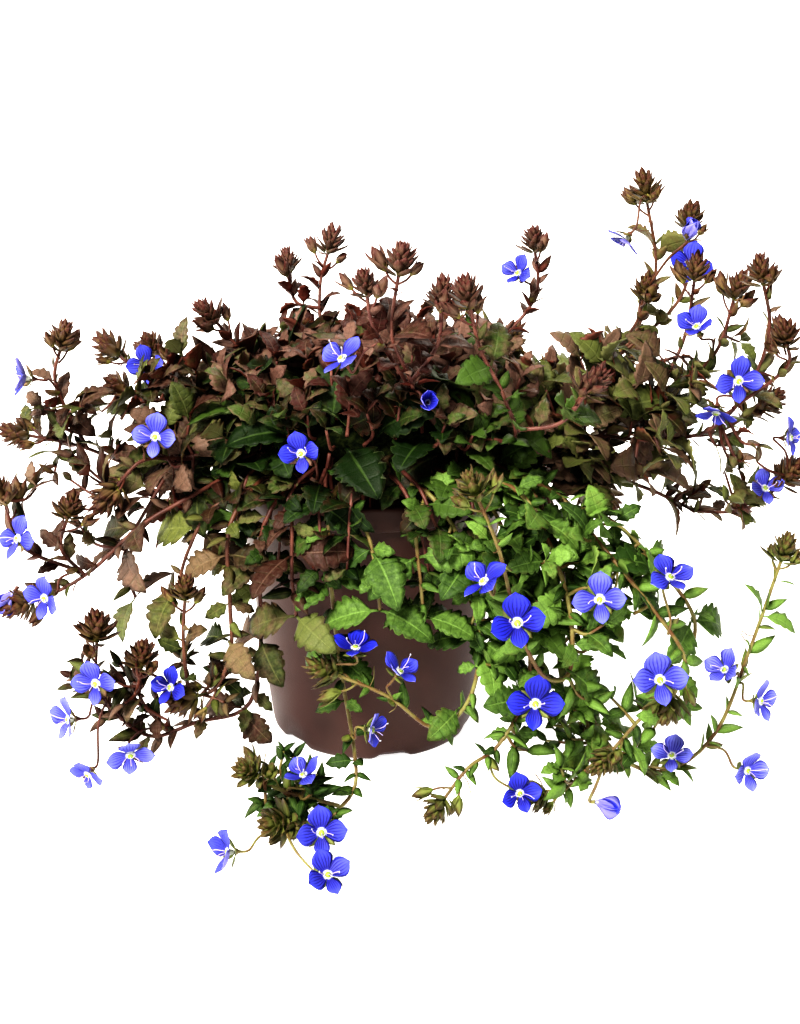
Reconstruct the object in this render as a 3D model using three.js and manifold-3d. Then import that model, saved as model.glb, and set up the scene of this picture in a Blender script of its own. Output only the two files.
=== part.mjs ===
// A potted Georgia blue speedwell: a round nursery pot full of potting soil, with leafy stems that rise
// from the soil, arch over the rim and trail, and four-petalled blooms that sit on their flower stalks.
// Millimetres, +Z up. The origin is the centre of the pot's flat base, and the viewer stands at -Y.
import * as THREE from "three";
import { mergeVertices } from "three/addons/utils/BufferGeometryUtils.js";
import Module from "manifold-3d";

const wasm = await Module();
wasm.setup();

// Pot
const POT_HEIGHT = 78;
const BASE_RADIUS = 29;
const BASE_EDGE = 1.5; // slope between the base and the wall
const BODY_TOP_RADIUS = 37;
const RIM_RADIUS = 40;
const RIM_BAND = 7;
const RIM_EDGE = 0.8; // slope at the rim's edges
const RIM_WALL = 2.2;
const BAND_TAPER = 0.5;
const WALL = 1;
const FLOOR = 1.2;
const POT_SIDES = 28;
const DRAIN_COUNT = 6;
const DRAIN_SIZE = [6, 10, 3]; // inwards, along the edge, and up
const DRAIN_LOW = -0.5; // a notch starts below the base, to cut right through it
const DRAIN_INSET = 1; // of a notch's middle from the base's edge
const FIRST_DRAIN = -78; // degrees round the axis

// Soil
const SOIL_EDGE = 68; // height of the soil at the wall
const SOIL_CROWN = 3; // how much higher it is in the middle
const SOIL_LUMP = 0.5;
const SOIL_WAVES = [0.55, 0.6, 1]; // how fast the lumps follow each other along X and Y, and their shift
const SOIL_RINGS = [0.66, 0.33, 0]; // shares of the radius at which the top has points
const SOIL_SIDES = 12;
const PLANT_DEPTH = 8; // how deep each shoot stands in its hole
const SEAT = 0.3; // between pieces that rest on each other

// Stems
const COLLAR = 72.5; // height at which a shoot leaves its foot in the soil
const COLLAR_RISE = 7; // a shoot runs straight up this far from its collar
const STEM_RADIUS = 0.95;
const BRANCH_RADIUS = 0.75;
const STEM_TIP_RADIUS = 0.6;
const STEM_SIDES = 4;
const STALK_RADIUS = 0.4;
const CUP_RADIUS = 1.1; // of the cup that holds a bloom
const STALK_SIDES = 3;
const STALK_STEP = 9;
const STALK_BOW = 2; // of a stalk's middle, the way that its stem runs
const PAST_RING = 0.08; // share of a straight piece of stem that lies between its joint and its leaves
const LEVEL = 0.01; // keeps the side of an upright stem from having no direction
const SAMPLES = 96; // straight pieces that a curve is measured with

// Heads of buds, as shares of their size
const HEAD_SIZE = 9;
const SMALL_HEAD = 0.85; // of the head on a short side shoot
const HEAD_RINGS = [[[0.2, 0.1], [0.52, 0.5]], [[0.44, 1], [0.24, 0.62]]]; // two radii and heights a ring
const HEAD_TOP = 0.85;

// Leaves
const BLADE = 0.9; // thickness of a leaf at its rib
const LEAF_SPACING = 20; // between the pairs on a stem
const SHORT_SPACING = 15; // the same on a short side shoot and on a stem without buds
const SHORT_LEAF = 10; // a short side shoot has no longer leaves
const MOST_BUDDED = 16; // a stem with longer leaves has no buds
const LONG_LEAF = 17; // a leaf at least this long has three teeth on each side
const LEAF_LEAN = 0.45; // of a leaf towards the stem's tip
const LEAF_FLATNESS = 0.7; // how far leaves turn into the plane that faces outwards
const OVERHANG = 55; // distance from the axis at which leaves face half outwards
const ROOT_SHARE = 0.55; // thickness at the root, as a share of that at the rib
const FIRST_TURN = 45; // degrees round the stem to the first pair
const PAIR_TURN = 90; // degrees from each pair to the next
const TIP_TAPER = 0.4; // share of its length that a leaf at the stem's tip has lost

// Ranges that are drawn from: leaf length as a share, and degrees aside, up and about the rib
const LENGTH_RANGE = [0.88, 1.12];
const CORE_LENGTH_RANGE = [0.85, 1.15];
const TURN_RANGE = [-20, 20];
const LIFT_RANGE = [-6, 18];
const ROLL_RANGE = [-18, 18];

// Room between leaves and what they don't grow from
const CLEARANCE = 0.35;
const TEST_GROWTH = 1.1; // a leaf that is tested for clearance is this much wider and longer

// Half outlines of a leaf from its stalk to near its tip, as shares of its length: along, across, and rise
const BROAD_LEAF = [
  [0.28, 0.25, 0.04], [0.4, 0.22, 0.04], [0.5, 0.31, 0.05], [0.63, 0.2, 0.02], [0.73, 0.21, 0.01],
];
const SMALL_LEAF = [[0.36, 0.29, 0.05], [0.54, 0.2, 0.03], [0.68, 0.23, 0.01]];
const LEAF_RIB = [0.45, 0.06]; // the middle of the rib: along, and rise
const LEAF_TIP_DROP = 0.1;

// What is tried for a leaf that would cross a neighbour: degrees round the stem, degrees up, and size
const TRIES = [
  [0, 0, 1], [18, 8, 1], [-18, 8, 1], [0, 24, 0.95], [36, 0, 0.9], [-36, 0, 0.9],
  [0, -20, 0.85], [54, 14, 0.8], [-54, 14, 0.8], [0, 12, 0.7], [30, 34, 0.65], [-30, 34, 0.65],
];

// The mound is leafy twigs so dense that they have a core, which its leaves stand out of.
const CORE_MIDDLE = [2, -2, 93];
const CORE_RADII = [42, 38, 12];
const CORE_SIDES = 12;
const CORE_LUMP = 0.05; // share of the radius
const CORE_WAVES = [5, 4, 6, 1]; // how fast the lumps follow each other along X, Y and Z, and their shift
const CORE_REACH = 1.1; // how close above the core leaves are left to it, as a share of its radii, squared
const CORE_LEAVES = 72;
const CORE_LEAF = 20;
const CORE_LEAN = 0.8;
const CORE_SEAT = 0.86; // where leaves start, as a share of the core
const CORE_LOWEST = -0.5; // lowest leaf, as a share of the core's height
const GOLDEN_TURN = 137.5; // degrees

// Blooms: petals from the upper one round to the left, as length and half width in shares of the radius
const PETALS = [[1.0, 0.46], [0.96, 0.42], [0.86, 0.3], [0.96, 0.42]];
const PETAL_EDGE = [[0.7, -1, 0.12], [1, 0, 0.14], [0.7, 1, 0.12]];
const PETAL_NOTCH = [0.16, 0.42, 0.03];
const THROAT_DEPTH = 1.6;
const NECK = 0.5; // straight end of a stalk behind its bloom, as a share of the bloom's radius

// Colours
const TONES = { bronze: 0x5a3a2c, moss: 0x4a5424, deep: 0x35501f, fresh: 0x5f8a34 };
const PETAL_BLUE = 0x3a45d8;
const POT_TAUPE = 0x6b5250;
const SOIL_BROWN = 0x2b2019;

// Each shoot: where it stands in the soil, and its stems as the points that they pass through. The first
// leaves the soil, and each later one starts at the nearest joint of an earlier one. leaf is the length of
// its longest leaf. A bloom is its middle, the way that it faces, and its radius. The shoot that is cored
// grows through the mound's core.
const SHOOTS = {
  left_high: {
    tone: "bronze", root: [-28, 1],
    stems: [
      { leaf: 16, path: [[-38, -2, 83], [-50, -6, 78], [-62, -10, 79], [-78, -12, 86], [-93, -14, 90]] },
      { leaf: 9, path: [[-78, -12, 86], [-83, -12, 103], [-81, -10, 114]] },
      { leaf: 15, path: [[-38, -2, 83], [-50, 8, 90], [-61, 17, 94], [-74, 22, 104]] },
      { leaf: 10, path: [[-50, 8, 90], [-60, 4, 94], [-68, 0, 99]] },
      { leaf: 18, path: [[-38, -2, 83], [-47, 1, 75], [-50, 2, 62]] },
    ],
    blooms: [[[-89, -20, 107], [-0.95, -0.4, 0.25], 6.5], [[-62, 8, 103], [-0.2, -0.9, 0.35], 6.2]],
  },
  left_mid: {
    tone: "bronze", root: [-26, -9],
    stems: [
      { leaf: 14, path: [
        [-33, -22, 83], [-44, -33, 80], [-58, -38, 73], [-70, -43, 63], [-79, -46, 58], [-87, -49, 56],
      ] },
      { leaf: 9, path: [[-70, -43, 63], [-77, -46, 70], [-74, -47, 80]] },
      { leaf: 9, path: [[-79, -46, 58], [-87, -45, 70], [-91, -44, 83]] },
      { leaf: 17, path: [[-33, -22, 83], [-48, -22, 86], [-58, -27, 74], [-65, -29, 60], [-62, -31, 50]] },
      { leaf: 12, path: [[-48, -22, 86], [-58, -31, 88], [-66, -34, 80]] },
    ],
    blooms: [
      [[-86, -53, 75], [-0.6, -0.7, 0.4], 6.2], [[-80, -55, 60], [-0.4, -0.9, 0.1], 6.4],
      [[-54, -33, 95], [-0.1, -0.9, 0.3], 6.4],
    ],
  },
  left_hang: {
    tone: "moss", root: [-22, -18],
    stems: [
      { leaf: 15, path: [
        [-28, -33, 83], [-35, -43, 74], [-35, -48, 56], [-35, -50, 44], [-39, -52, 34], [-46, -52, 31],
      ] },
      { leaf: 9, path: [[-39, -52, 34], [-47, -50, 46], [-46, -49, 59]] },
      { leaf: 17, path: [[-28, -33, 83], [-40, -37, 77], [-46, -41, 67], [-49, -43, 57]] },
    ],
    blooms: [[[-50, -56, 36], [-0.5, -0.7, 0.5], 5.8]],
  },
  left_low: {
    tone: "bronze", root: [-14, -25],
    stems: [
      { leaf: 14, path: [
        [-20, -37, 83], [-27, -44, 72], [-28, -44, 42], [-32, -45, 25], [-45, -48, 22], [-56, -52, 20],
        [-64, -55, 28], [-68, -57, 38], [-67, -58, 52],
      ] },
      { leaf: 9, path: [[-56, -52, 20], [-58, -54, 32], [-57, -55, 43]] },
      { leaf: 18, path: [[-20, -37, 83], [-19, -46, 76], [-19, -50, 64], [-18, -52, 54]] },
    ],
    blooms: [
      [[-67, -64, 41], [-0.3, -0.9, 0.2], 6.4], [[-75, -62, 30], [-0.85, -0.5, 0.1], 6.6],
      [[-60, -62, 20], [0.2, -0.95, -0.2], 6.6], [[-71, -63, 15], [-0.4, -0.8, -0.3], 5.6],
    ],
  },
  front_left: {
    tone: "fresh", root: [-5, -29],
    stems: [
      { leaf: 14, path: [
        [-8, -39, 83], [-10, -46, 74], [-9, -48, 56], [-7, -49, 36], [-4, -53, 18], [-4, -59, 8],
        [-12, -68, 5], [-21, -76, 9],
      ] },
      { leaf: 9, path: [[-12, -68, 5], [-22, -70, 15], [-28, -76, 23]] },
      { leaf: 18, path: [[-8, -39, 83], [-1, -47, 76], [2, -51, 66], [3, -53, 56]] },
    ],
    blooms: [
      [[-11, -82, 10], [0.1, -0.85, 0.4], 7], [[-9, -94, 6], [0.2, -0.6, 0.7], 6.6],
      [[-33, -89, 9], [-0.9, -0.4, 0.15], 6.8], [[-16, -70, 19], [-0.3, -0.2, 0.9], 6],
      [[1, -58, 25], [0.9, -0.5, 0.1], 5.8],
    ],
  },
  front_mid: {
    tone: "fresh", root: [6, -29],
    stems: [
      { leaf: 15, path: [
        [14, -39, 83], [23, -47, 72], [28, -50, 50], [26, -53, 32], [17, -55, 24], [5, -57, 34],
        [-10, -57, 41],
      ] },
      { leaf: 18, path: [[14, -39, 83], [12, -48, 76], [13, -51, 64], [14, -53, 54]] },
    ],
    blooms: [[[-3, -60, 49], [0, -0.25, 1], 6.4], [[8, -61, 43], [0.5, -0.3, 0.85], 6]],
  },
  front_rise: {
    tone: "fresh", root: [15, -25],
    stems: [
      { leaf: 16, path: [
        [27, -33, 83], [39, -45, 83], [49, -56, 62], [50, -62, 44], [43, -68, 45], [36, -72, 60],
        [31, -74, 80], [25, -75, 95],
      ] },
      { leaf: 15, path: [
        [27, -33, 83], [34, -46, 74], [40, -53, 50], [40, -55, 34], [33, -60, 22], [25, -65, 18],
        [18, -69, 10],
      ] },
    ],
    blooms: [
      [[35, -81, 65], [0, -0.9, 0.4], 7.6], [[27, -80, 75], [-0.5, -0.35, 0.8], 6.6],
      [[41, -69, 38], [0, -0.9, 0.5], 7.6], [[38, -67, 12], [0.2, -0.9, 0.3], 6.2],
    ],
  },
  front_right: {
    tone: "fresh", root: [22, -19],
    stems: [
      { leaf: 16, path: [
        [35, -25, 83], [48, -38, 81], [58, -50, 72], [69, -58, 60], [78, -62, 47], [75, -63, 35],
      ] },
      { leaf: 14, path: [
        [48, -38, 81], [62, -41, 75], [74, -46, 64], [83, -48, 50], [78, -52, 36], [67, -58, 26],
        [60, -63, 20],
      ] },
    ],
    blooms: [
      [[56, -65, 64], [-0.2, -0.9, 0.3], 7], [[73, -63, 69], [0.2, -0.5, 0.8], 6.6],
      [[70, -74, 47], [0, -0.9, 0.4], 7.6],
    ],
  },
  floor_right: {
    tone: "moss", root: [28, -12],
    stems: [
      { leaf: 13, path: [
        [38, -24, 83], [48, -38, 68], [54, -47, 34], [64, -49, 14], [78, -47, 7], [91, -45, 17],
        [99, -42, 40], [106, -40, 66],
      ] },
      { leaf: 12, path: [[54, -47, 34], [57, -53, 16], [51, -56, 7], [44, -58, 6]] },
    ],
    blooms: [
      [[91, -50, 38], [-0.6, -0.5, 0.6], 6.2], [[101, -50, 29], [0.7, -0.6, 0.2], 6.4],
      [[98, -54, 11], [0.5, -0.8, 0.2], 6.6], [[78, -55, 16], [-0.2, -0.5, 0.8], 6],
    ],
  },
  right_long: {
    tone: "bronze", root: [29, 4],
    stems: [
      { leaf: 15, path: [
        [40, 1, 83], [53, -3, 84], [66, -2, 75], [79, 0, 69], [93, 0, 63], [106, -4, 66],
        [114, -8, 76],
      ] },
      { leaf: 14, path: [[53, -3, 84], [70, 6, 88], [84, 9, 83], [97, 7, 84], [109, 3, 94]] },
      { leaf: 17, path: [[40, 1, 83], [47, 8, 74], [50, 12, 60]] },
    ],
    blooms: [[[113, -11, 88], [0.8, -0.5, 0.2], 6], [[107, -12, 74], [0.1, -0.7, 0.6], 5.8]],
  },
  right_top: {
    tone: "moss", root: [23, 19],
    stems: [
      { leaf: 16, path: [[34, 20, 83], [56, 24, 90], [73, 28, 103], [81, 30, 124], [77, 30, 147]] },
      { leaf: 9, path: [[73, 28, 103], [88, 27, 118], [89, 26, 140]] },
      { leaf: 13, path: [[56, 24, 90], [66, 19, 103], [74, 18, 112], [76, 16, 122]] },
      { leaf: 17, path: [[34, 20, 83], [42, 27, 75], [45, 31, 60]] },
    ],
    blooms: [[[71, 24, 135], [-0.6, -0.2, -0.75], 6.4], [[88, 14, 130], [-0.1, -0.85, 0.4], 6.6]],
  },
  right_upper: {
    tone: "bronze", root: [30, -4],
    stems: [
      { leaf: 15, path: [
        [41, -8, 83], [60, -10, 88], [76, -10, 87], [90, -14, 91], [99, -17, 103], [103, -18, 119],
        [100, -18, 133],
      ] },
      { leaf: 14, path: [[60, -10, 88], [76, -4, 97], [91, -7, 109], [96, -8, 127]] },
      { leaf: 9, path: [[76, -4, 97], [85, 2, 112], [87, 2, 130]] },
      { leaf: 8, path: [[99, -17, 103], [107, -22, 110], [106, -24, 118]] },
    ],
    blooms: [
      [[85, -14, 119], [-0.4, -0.5, 0.75], 6.2], [[94, -27, 108], [0.1, -0.9, 0.1], 6.8],
      [[90, -22, 98], [-0.2, -0.6, -0.7], 6],
    ],
  },
  mound: {
    tone: "deep", root: [2, -2], cored: true,
    stems: [
      { leaf: 18, path: [[2, -2, 86], [2, -2, 98]] },
      { leaf: 15, path: [
        [2, -2, 98], [8, -24, 102], [11, -37, 108], [10, -43, 114], [6, -46, 125], [8, -46, 141],
      ] },
      { leaf: 8, path: [[10, -43, 114], [2, -47, 126], [0, -48, 136]] },
      { leaf: 9, path: [[10, -43, 114], [17, -45, 122], [18, -44, 133]] },
      { leaf: 14, path: [
        [2, -2, 86], [26, -30, 94], [36, -44, 98], [33, -49, 110], [27, -50, 122], [24, -50, 134],
      ] },
      { leaf: 14, path: [[36, -44, 98], [47, -47, 103], [54, -47, 112]] },
      { leaf: 15, path: [[2, -2, 98], [-13, 24, 106], [-15, 31, 120], [-12, 33, 132]] },
      { leaf: 8, path: [[-13, 24, 106], [-22, 28, 117], [-24, 30, 127]] },
      { leaf: 16, path: [[2, -2, 98], [-24, 6, 102], [-35, 5, 108], [-43, 3, 118]] },
      { leaf: 15, path: [[2, -2, 98], [26, 14, 103], [40, 24, 110], [47, 27, 120], [46, 28, 133]] },
      { leaf: 14, path: [[2, -2, 98], [20, 24, 104], [26, 34, 115]] },
    ],
    blooms: [
      [[-6, -47, 119], [-0.5, -0.4, 0.75], 6.8], [[41, 22, 126], [-0.5, -0.6, 0.6], 5.8],
      [[-16, -50, 96], [-0.2, -0.9, 0.3], 6],
    ],
  },
  back_left: {
    tone: "bronze", root: [-24, 17],
    stems: [
      { leaf: 16, path: [[-32, 28, 83], [-48, 40, 83], [-60, 48, 64], [-65, 52, 46]] },
      { leaf: 13, path: [[-48, 40, 83], [-58, 34, 92], [-64, 32, 102]] },
      { leaf: 17, path: [[-32, 28, 83], [-38, 36, 74], [-40, 39, 60]] },
    ],
    blooms: [[[-66, 58, 62], [-0.5, 0.8, 0.3], 6.4]],
  },
  back_mid: {
    tone: "deep", root: [-8, 28],
    stems: [
      { leaf: 17, path: [[-12, 39, 83], [-18, 56, 74], [-21, 66, 50], [-26, 73, 28], [-34, 80, 12]] },
      { leaf: 15, path: [[-12, 39, 83], [-24, 50, 83], [-34, 60, 68]] },
      { leaf: 18, path: [[-12, 39, 83], [-4, 48, 76], [0, 52, 64], [1, 54, 52]] },
    ],
    blooms: [[[-36, 72, 60], [-0.3, 0.9, 0.3], 6.6]],
  },
  back_right: {
    tone: "moss", root: [11, 28],
    stems: [
      { leaf: 16, path: [[15, 39, 83], [21, 56, 78], [27, 70, 60], [31, 78, 36], [34, 86, 14]] },
      { leaf: 12, path: [[21, 56, 78], [34, 58, 86], [42, 60, 98]] },
      { leaf: 16, path: [[15, 39, 83], [36, 44, 84], [52, 50, 78], [66, 56, 62], [74, 60, 46]] },
      { leaf: 13, path: [[52, 50, 78], [66, 46, 88], [78, 44, 98]] },
      { leaf: 18, path: [[15, 39, 83], [25, 44, 75], [28, 47, 60]] },
    ],
    blooms: [[[38, 84, 38], [0.5, 0.8, 0.3], 6.6]],
  },
};

const v3 = (p) => new THREE.Vector3(p[0], p[1], p[2]);
const radians = THREE.MathUtils.degToRad;

// Numbers from 0 to 1 that look random and are the same at every run.
function draws(seed) {
  let state = (seed * 7919 + 17) >>> 0;
  return () => {
    state = (Math.imul(state, 1664525) + 1013904223) >>> 0;
    return state / 4294967296;
  };
}

function between([least, most], draw) {
  return least + (most - least) * draw();
}

// A solid for joining and cutting, from a list of points and a list of triangles.
function solid(points, triangles) {
  const vertProperties = new Float32Array(points.flatMap((p) => [p.x, p.y, p.z]));
  const triVerts = new Uint32Array(triangles.flat());
  return new wasm.Manifold(new wasm.Mesh({ numProp: 3, vertProperties, triVerts }));
}

// The same from a three.js geometry.
function solidOf(geometry) {
  geometry.deleteAttribute("normal");
  geometry.deleteAttribute("uv");
  const merged = mergeVertices(geometry, 1e-4);
  const vertProperties = new Float32Array(merged.attributes.position.array);
  const triVerts = new Uint32Array(merged.index.array);
  return new wasm.Manifold(new wasm.Mesh({ numProp: 3, vertProperties, triVerts }));
}

function addMesh(name, made, color, roughness) {
  const data = made.getMesh();
  const geometry = new THREE.BufferGeometry();
  geometry.setAttribute("position", new THREE.BufferAttribute(data.vertProperties, 3));
  geometry.setIndex(new THREE.BufferAttribute(data.triVerts, 1));
  geometry.computeVertexNormals();
  const mesh = new THREE.Mesh(geometry, new THREE.MeshStandardMaterial({ color, roughness, metalness: 0 }));
  mesh.name = name;
  group.add(mesh);
}

// A turned solid from heights and radii, from the axis at the bottom to the axis at the top.
function turned(profile, sides) {
  const points = profile.map(([r, z]) => new THREE.Vector2(r, z));
  return new THREE.LatheGeometry(points, sides).rotateX(Math.PI / 2);
}

// The pot is a turned shell with a band under its rim, and drain notches where the wall meets the base.
function makePot() {
  const band = POT_HEIGHT - RIM_BAND;
  let pot = solidOf(turned([
    [0, 0], [BASE_RADIUS - BASE_EDGE, 0], [BASE_RADIUS, BASE_EDGE],
    [BODY_TOP_RADIUS, band], [RIM_RADIUS - BAND_TAPER, band + RIM_EDGE],
    [RIM_RADIUS, POT_HEIGHT - RIM_EDGE], [RIM_RADIUS - RIM_EDGE, POT_HEIGHT],
    [RIM_RADIUS - RIM_WALL, POT_HEIGHT], [BODY_TOP_RADIUS - WALL, band - WALL / 2],
    [BASE_RADIUS - WALL, FLOOR], [0, FLOOR],
  ], POT_SIDES));
  for (let i = 0; i < DRAIN_COUNT; i++) {
    const notch = new THREE.BoxGeometry(...DRAIN_SIZE);
    notch.translate(BASE_RADIUS - DRAIN_INSET, 0, DRAIN_SIZE[2] / 2 + DRAIN_LOW);
    notch.rotateZ(radians(FIRST_DRAIN + (360 / DRAIN_COUNT) * i));
    pot = pot.subtract(solidOf(notch));
  }
  return pot;
}

// Height of the soil at a place: a low dome with lumps.
function soilHeight(x, y) {
  const share = (x * x + y * y) / (BODY_TOP_RADIUS * BODY_TOP_RADIUS);
  const lump = Math.sin(x * SOIL_WAVES[0]) * Math.cos(y * SOIL_WAVES[1] + SOIL_WAVES[2]);
  return SOIL_EDGE + SOIL_CROWN * (1 - share) + SOIL_LUMP * lump;
}

// The soil fills the pot, lies on its base, and has a plain hole for each shoot.
function makeSoil() {
  const low = FLOOR + SEAT;
  const slope = (BODY_TOP_RADIUS - BASE_RADIUS) / (POT_HEIGHT - RIM_BAND - BASE_EDGE);
  const inner = (z) => BASE_RADIUS + slope * (z - BASE_EDGE) - WALL - 2 * SEAT;
  const top = inner(SOIL_EDGE);
  const rings = SOIL_RINGS.map((share) => [top * share, SOIL_EDGE]);
  const geometry = turned([[0, low], [inner(low) - SEAT, low], [top, SOIL_EDGE], ...rings], SOIL_SIDES);
  const p = geometry.attributes.position;
  for (let i = 0; i < p.count; i++)
    if (p.getZ(i) > SOIL_EDGE - SEAT && Math.hypot(p.getX(i), p.getY(i)) < top - SEAT)
      p.setZ(i, soilHeight(p.getX(i), p.getY(i)));
  let soil = solidOf(geometry);
  for (const { root: [x, y] } of Object.values(SHOOTS)) {
    const radius = (STEM_RADIUS + SEAT) / Math.cos(Math.PI / STEM_SIDES);
    const hole = new THREE.CylinderGeometry(radius, radius, 2 * PLANT_DEPTH, STEM_SIDES);
    hole.rotateX(Math.PI / 2).translate(x, y, SOIL_EDGE + SOIL_CROWN);
    soil = soil.subtract(solidOf(hole));
  }
  return soil;
}

// A stem as joints of equal length along a smooth curve. Each joint has its place, the way that the stem
// runs there, and two sides that are kept from twisting.
function traceStem(points, side, spacing) {
  const fine = new THREE.CatmullRomCurve3(points, false, "catmullrom", 0.5).getPoints(SAMPLES);
  const far = [0];
  for (let i = 1; i < fine.length; i++) far.push(far[i - 1] + fine[i].distanceTo(fine[i - 1]));
  const length = far[SAMPLES];
  const count = Math.max(2, Math.round(length / spacing));
  let u = side;
  const joints = Array.from({ length: count + 1 }, (_, k) => {
    const s = (length * k) / count;
    let i = 1;
    while (i < SAMPLES && far[i] < s) i++;
    const p = fine[i - 1].clone().lerp(fine[i], (s - far[i - 1]) / (far[i] - far[i - 1]));
    const t = fine[i].clone().sub(fine[i - 1]).normalize();
    u = u.clone().addScaledVector(t, -u.dot(t)).normalize();
    return { p, t, u, v: t.clone().cross(u) };
  });
  joints.forEach((joint, k) => {
    joint.node = joint.p.clone().lerp(joints[Math.min(k + 1, count)].p, PAST_RING);
  });
  return joints;
}

// The triangles between rings of points, each ring with the same number of sides.
function ringTriangles(rings, sides, start) {
  const triangles = [];
  for (let i = 0; i < rings - 1; i++)
    for (let k = 0; k < sides; k++) {
      const a = start + i * sides + k;
      const b = start + i * sides + ((k + 1) % sides);
      triangles.push([a, b, b + sides], [a, b + sides, a + sides]);
    }
  return triangles;
}

function ring({ p, t, u, v }, sides, radius, height) {
  return Array.from({ length: sides }, (_, k) => {
    const turn = (2 * Math.PI * k) / sides;
    return p.clone().addScaledVector(t, height(k))
      .addScaledVector(u, radius(k) * Math.cos(turn)).addScaledVector(v, radius(k) * Math.sin(turn));
  });
}

// A closed tube with a ring at each joint, from one radius to another.
function tube(joints, from, to, sides) {
  const radius = (i) => from + ((to - from) * i) / (joints.length - 1);
  const points = joints.flatMap((joint, i) => ring(joint, sides, () => radius(i), () => 0));
  const last = points.length - sides;
  const triangles = ringTriangles(joints.length, sides, 0);
  for (let k = 1; k < sides - 1; k++) triangles.push([0, k + 1, k], [last, last + k, last + k + 1]);
  return { points, triangles, last };
}

// A stem. A head of unopened buds is one or two rings of pointed lobes round its tip.
function stemSolid(joints, radius, headSize) {
  const { points, triangles, last } = tube(joints, radius, STEM_TIP_RADIUS, STEM_SIDES);
  if (!headSize) return solid(points, triangles);
  triangles.splice(-3, 3, triangles[triangles.length - 2]);
  const tip = joints[joints.length - 1];
  const first = points.length;
  const sides = 2 * STEM_SIDES;
  const rings = HEAD_RINGS.slice(headSize < HEAD_SIZE ? 1 : 0);
  for (const pair of rings)
    points.push(...ring(tip, sides, (k) => headSize * pair[k % 2][0], (k) => headSize * pair[k % 2][1]));
  for (let j = 0; j < STEM_SIDES; j++) {
    const [a, b] = [last + j, last + ((j + 1) % STEM_SIDES)];
    const [before, same, after] = [(2 * j + sides - 1) % sides, 2 * j, 2 * j + 1].map((k) => first + k);
    triangles.push([a, same, before], [a, after, same], [a, b, after]);
  }
  triangles.push(...ringTriangles(rings.length, sides, first));
  const top = points.push(tip.p.clone().addScaledVector(tip.t, headSize * HEAD_TOP)) - 1;
  for (let k = 0; k < sides; k++) triangles.push([top, top - sides + k, top - sides + ((k + 1) % sides)]);
  return solid(points, triangles);
}

// A thin closed blade: two faces that hold the same fan of triangles, and meet along the outline. The first
// point of the outline is its root, which is a short edge across the thickness.
function blade(outline, middle, up, down) {
  const n = outline.length;
  const root = up.clone().multiplyScalar(ROOT_SHARE);
  const points = [...outline.slice(1), outline[0].clone().add(root), outline[0].clone().sub(root)];
  const [topRoot, lowRoot, top, low] = [n - 1, n, n + 1, n + 2];
  points.push(middle.clone().add(up), middle.clone().add(down));
  const triangles = [[topRoot, lowRoot, 0], [lowRoot, topRoot, n - 2]];
  triangles.push([top, topRoot, 0], [low, 0, lowRoot], [top, n - 2, topRoot], [low, lowRoot, n - 2]);
  for (let i = 0; i < n - 2; i++) triangles.push([top, i, i + 1], [low, i + 1, i]);
  return solid(points, triangles);
}

// How a leaf is turned: the way it points, its upper side, and the way across it. Upper sides face the sky
// in the middle of the plant, and lean outwards away from it.
function placeLeaf({ node, t, u, v }, lean, turn, lift, roll, length) {
  const face = new THREE.Vector3(node.x / OVERHANG, node.y / OVERHANG, 1).normalize();
  const [aside, across] = [Math.cos(radians(turn)), Math.sin(radians(turn))];
  const along = u.clone().multiplyScalar(aside).addScaledVector(v, across);
  along.addScaledVector(face, -LEAF_FLATNESS * along.dot(face)).normalize();
  along.addScaledVector(t, lean).normalize().addScaledVector(face, Math.tan(radians(lift))).normalize();
  const up = face.addScaledVector(along, -face.dot(along)).normalize().applyAxisAngle(along, radians(roll));
  return { node, along, up, across: up.clone().cross(along), length };
}

// A toothed leaf, with its root on the middle line of the stem or under the skin of the core.
function leafSolid(place, thickness, wider) {
  const half = place.length >= LONG_LEAF ? BROAD_LEAF : SMALL_LEAF;
  const at = (along, across, rise) =>
    place.node.clone()
      .addScaledVector(place.along, along * place.length)
      .addScaledVector(place.across, across * place.length)
      .addScaledVector(place.up, rise * place.length);
  const right = half.map(([a, c, r]) => at(a, -c * wider, r));
  const left = half.map(([a, c, r]) => at(a, c * wider, r)).reverse();
  const outline = [at(0, 0, 0), ...right, at(wider, 0, -LEAF_TIP_DROP), ...left];
  const up = place.up.clone().multiplyScalar(thickness / 2);
  return blade(outline, at(LEAF_RIB[0], 0, LEAF_RIB[1]), up, up.clone().negate());
}

// The way that a bloom faces, the way up across it, and the way to its left as the bloom is looked at.
function bloomFrame(face) {
  const n = v3(face).normalize();
  const up = Math.abs(n.z) < 0.98 ? new THREE.Vector3(0, 0, 1) : new THREE.Vector3(0, 1, 0);
  up.addScaledVector(n, -up.dot(n)).normalize();
  return { n, up, left: n.clone().cross(up) };
}

// Four petals round a throat, as one thin solid whose back runs to a cone behind the throat.
function bloomSolid([middle, face, radius]) {
  const { n, up, left } = bloomFrame(face);
  const edge = PETALS.flatMap(([length, half], i) => {
    const turn = (i * Math.PI) / 2;
    const out = up.clone().multiplyScalar(Math.cos(turn)).addScaledVector(left, Math.sin(turn));
    const side = left.clone().multiplyScalar(Math.cos(turn)).addScaledVector(up, -Math.sin(turn));
    return [...PETAL_EDGE, PETAL_NOTCH].map(([along, across, rise]) =>
      v3(middle)
        .addScaledVector(out, along * length * radius)
        .addScaledVector(side, across * half * radius)
        .addScaledVector(n, rise * radius));
  });
  const count = edge.length;
  const points = [...edge, v3(middle), v3(middle).addScaledVector(n, -THROAT_DEPTH)];
  const triangles = edge.flatMap((_, i) => [[count, i, (i + 1) % count], [count + 1, (i + 1) % count, i]]);
  return solid(points, triangles);
}

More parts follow.
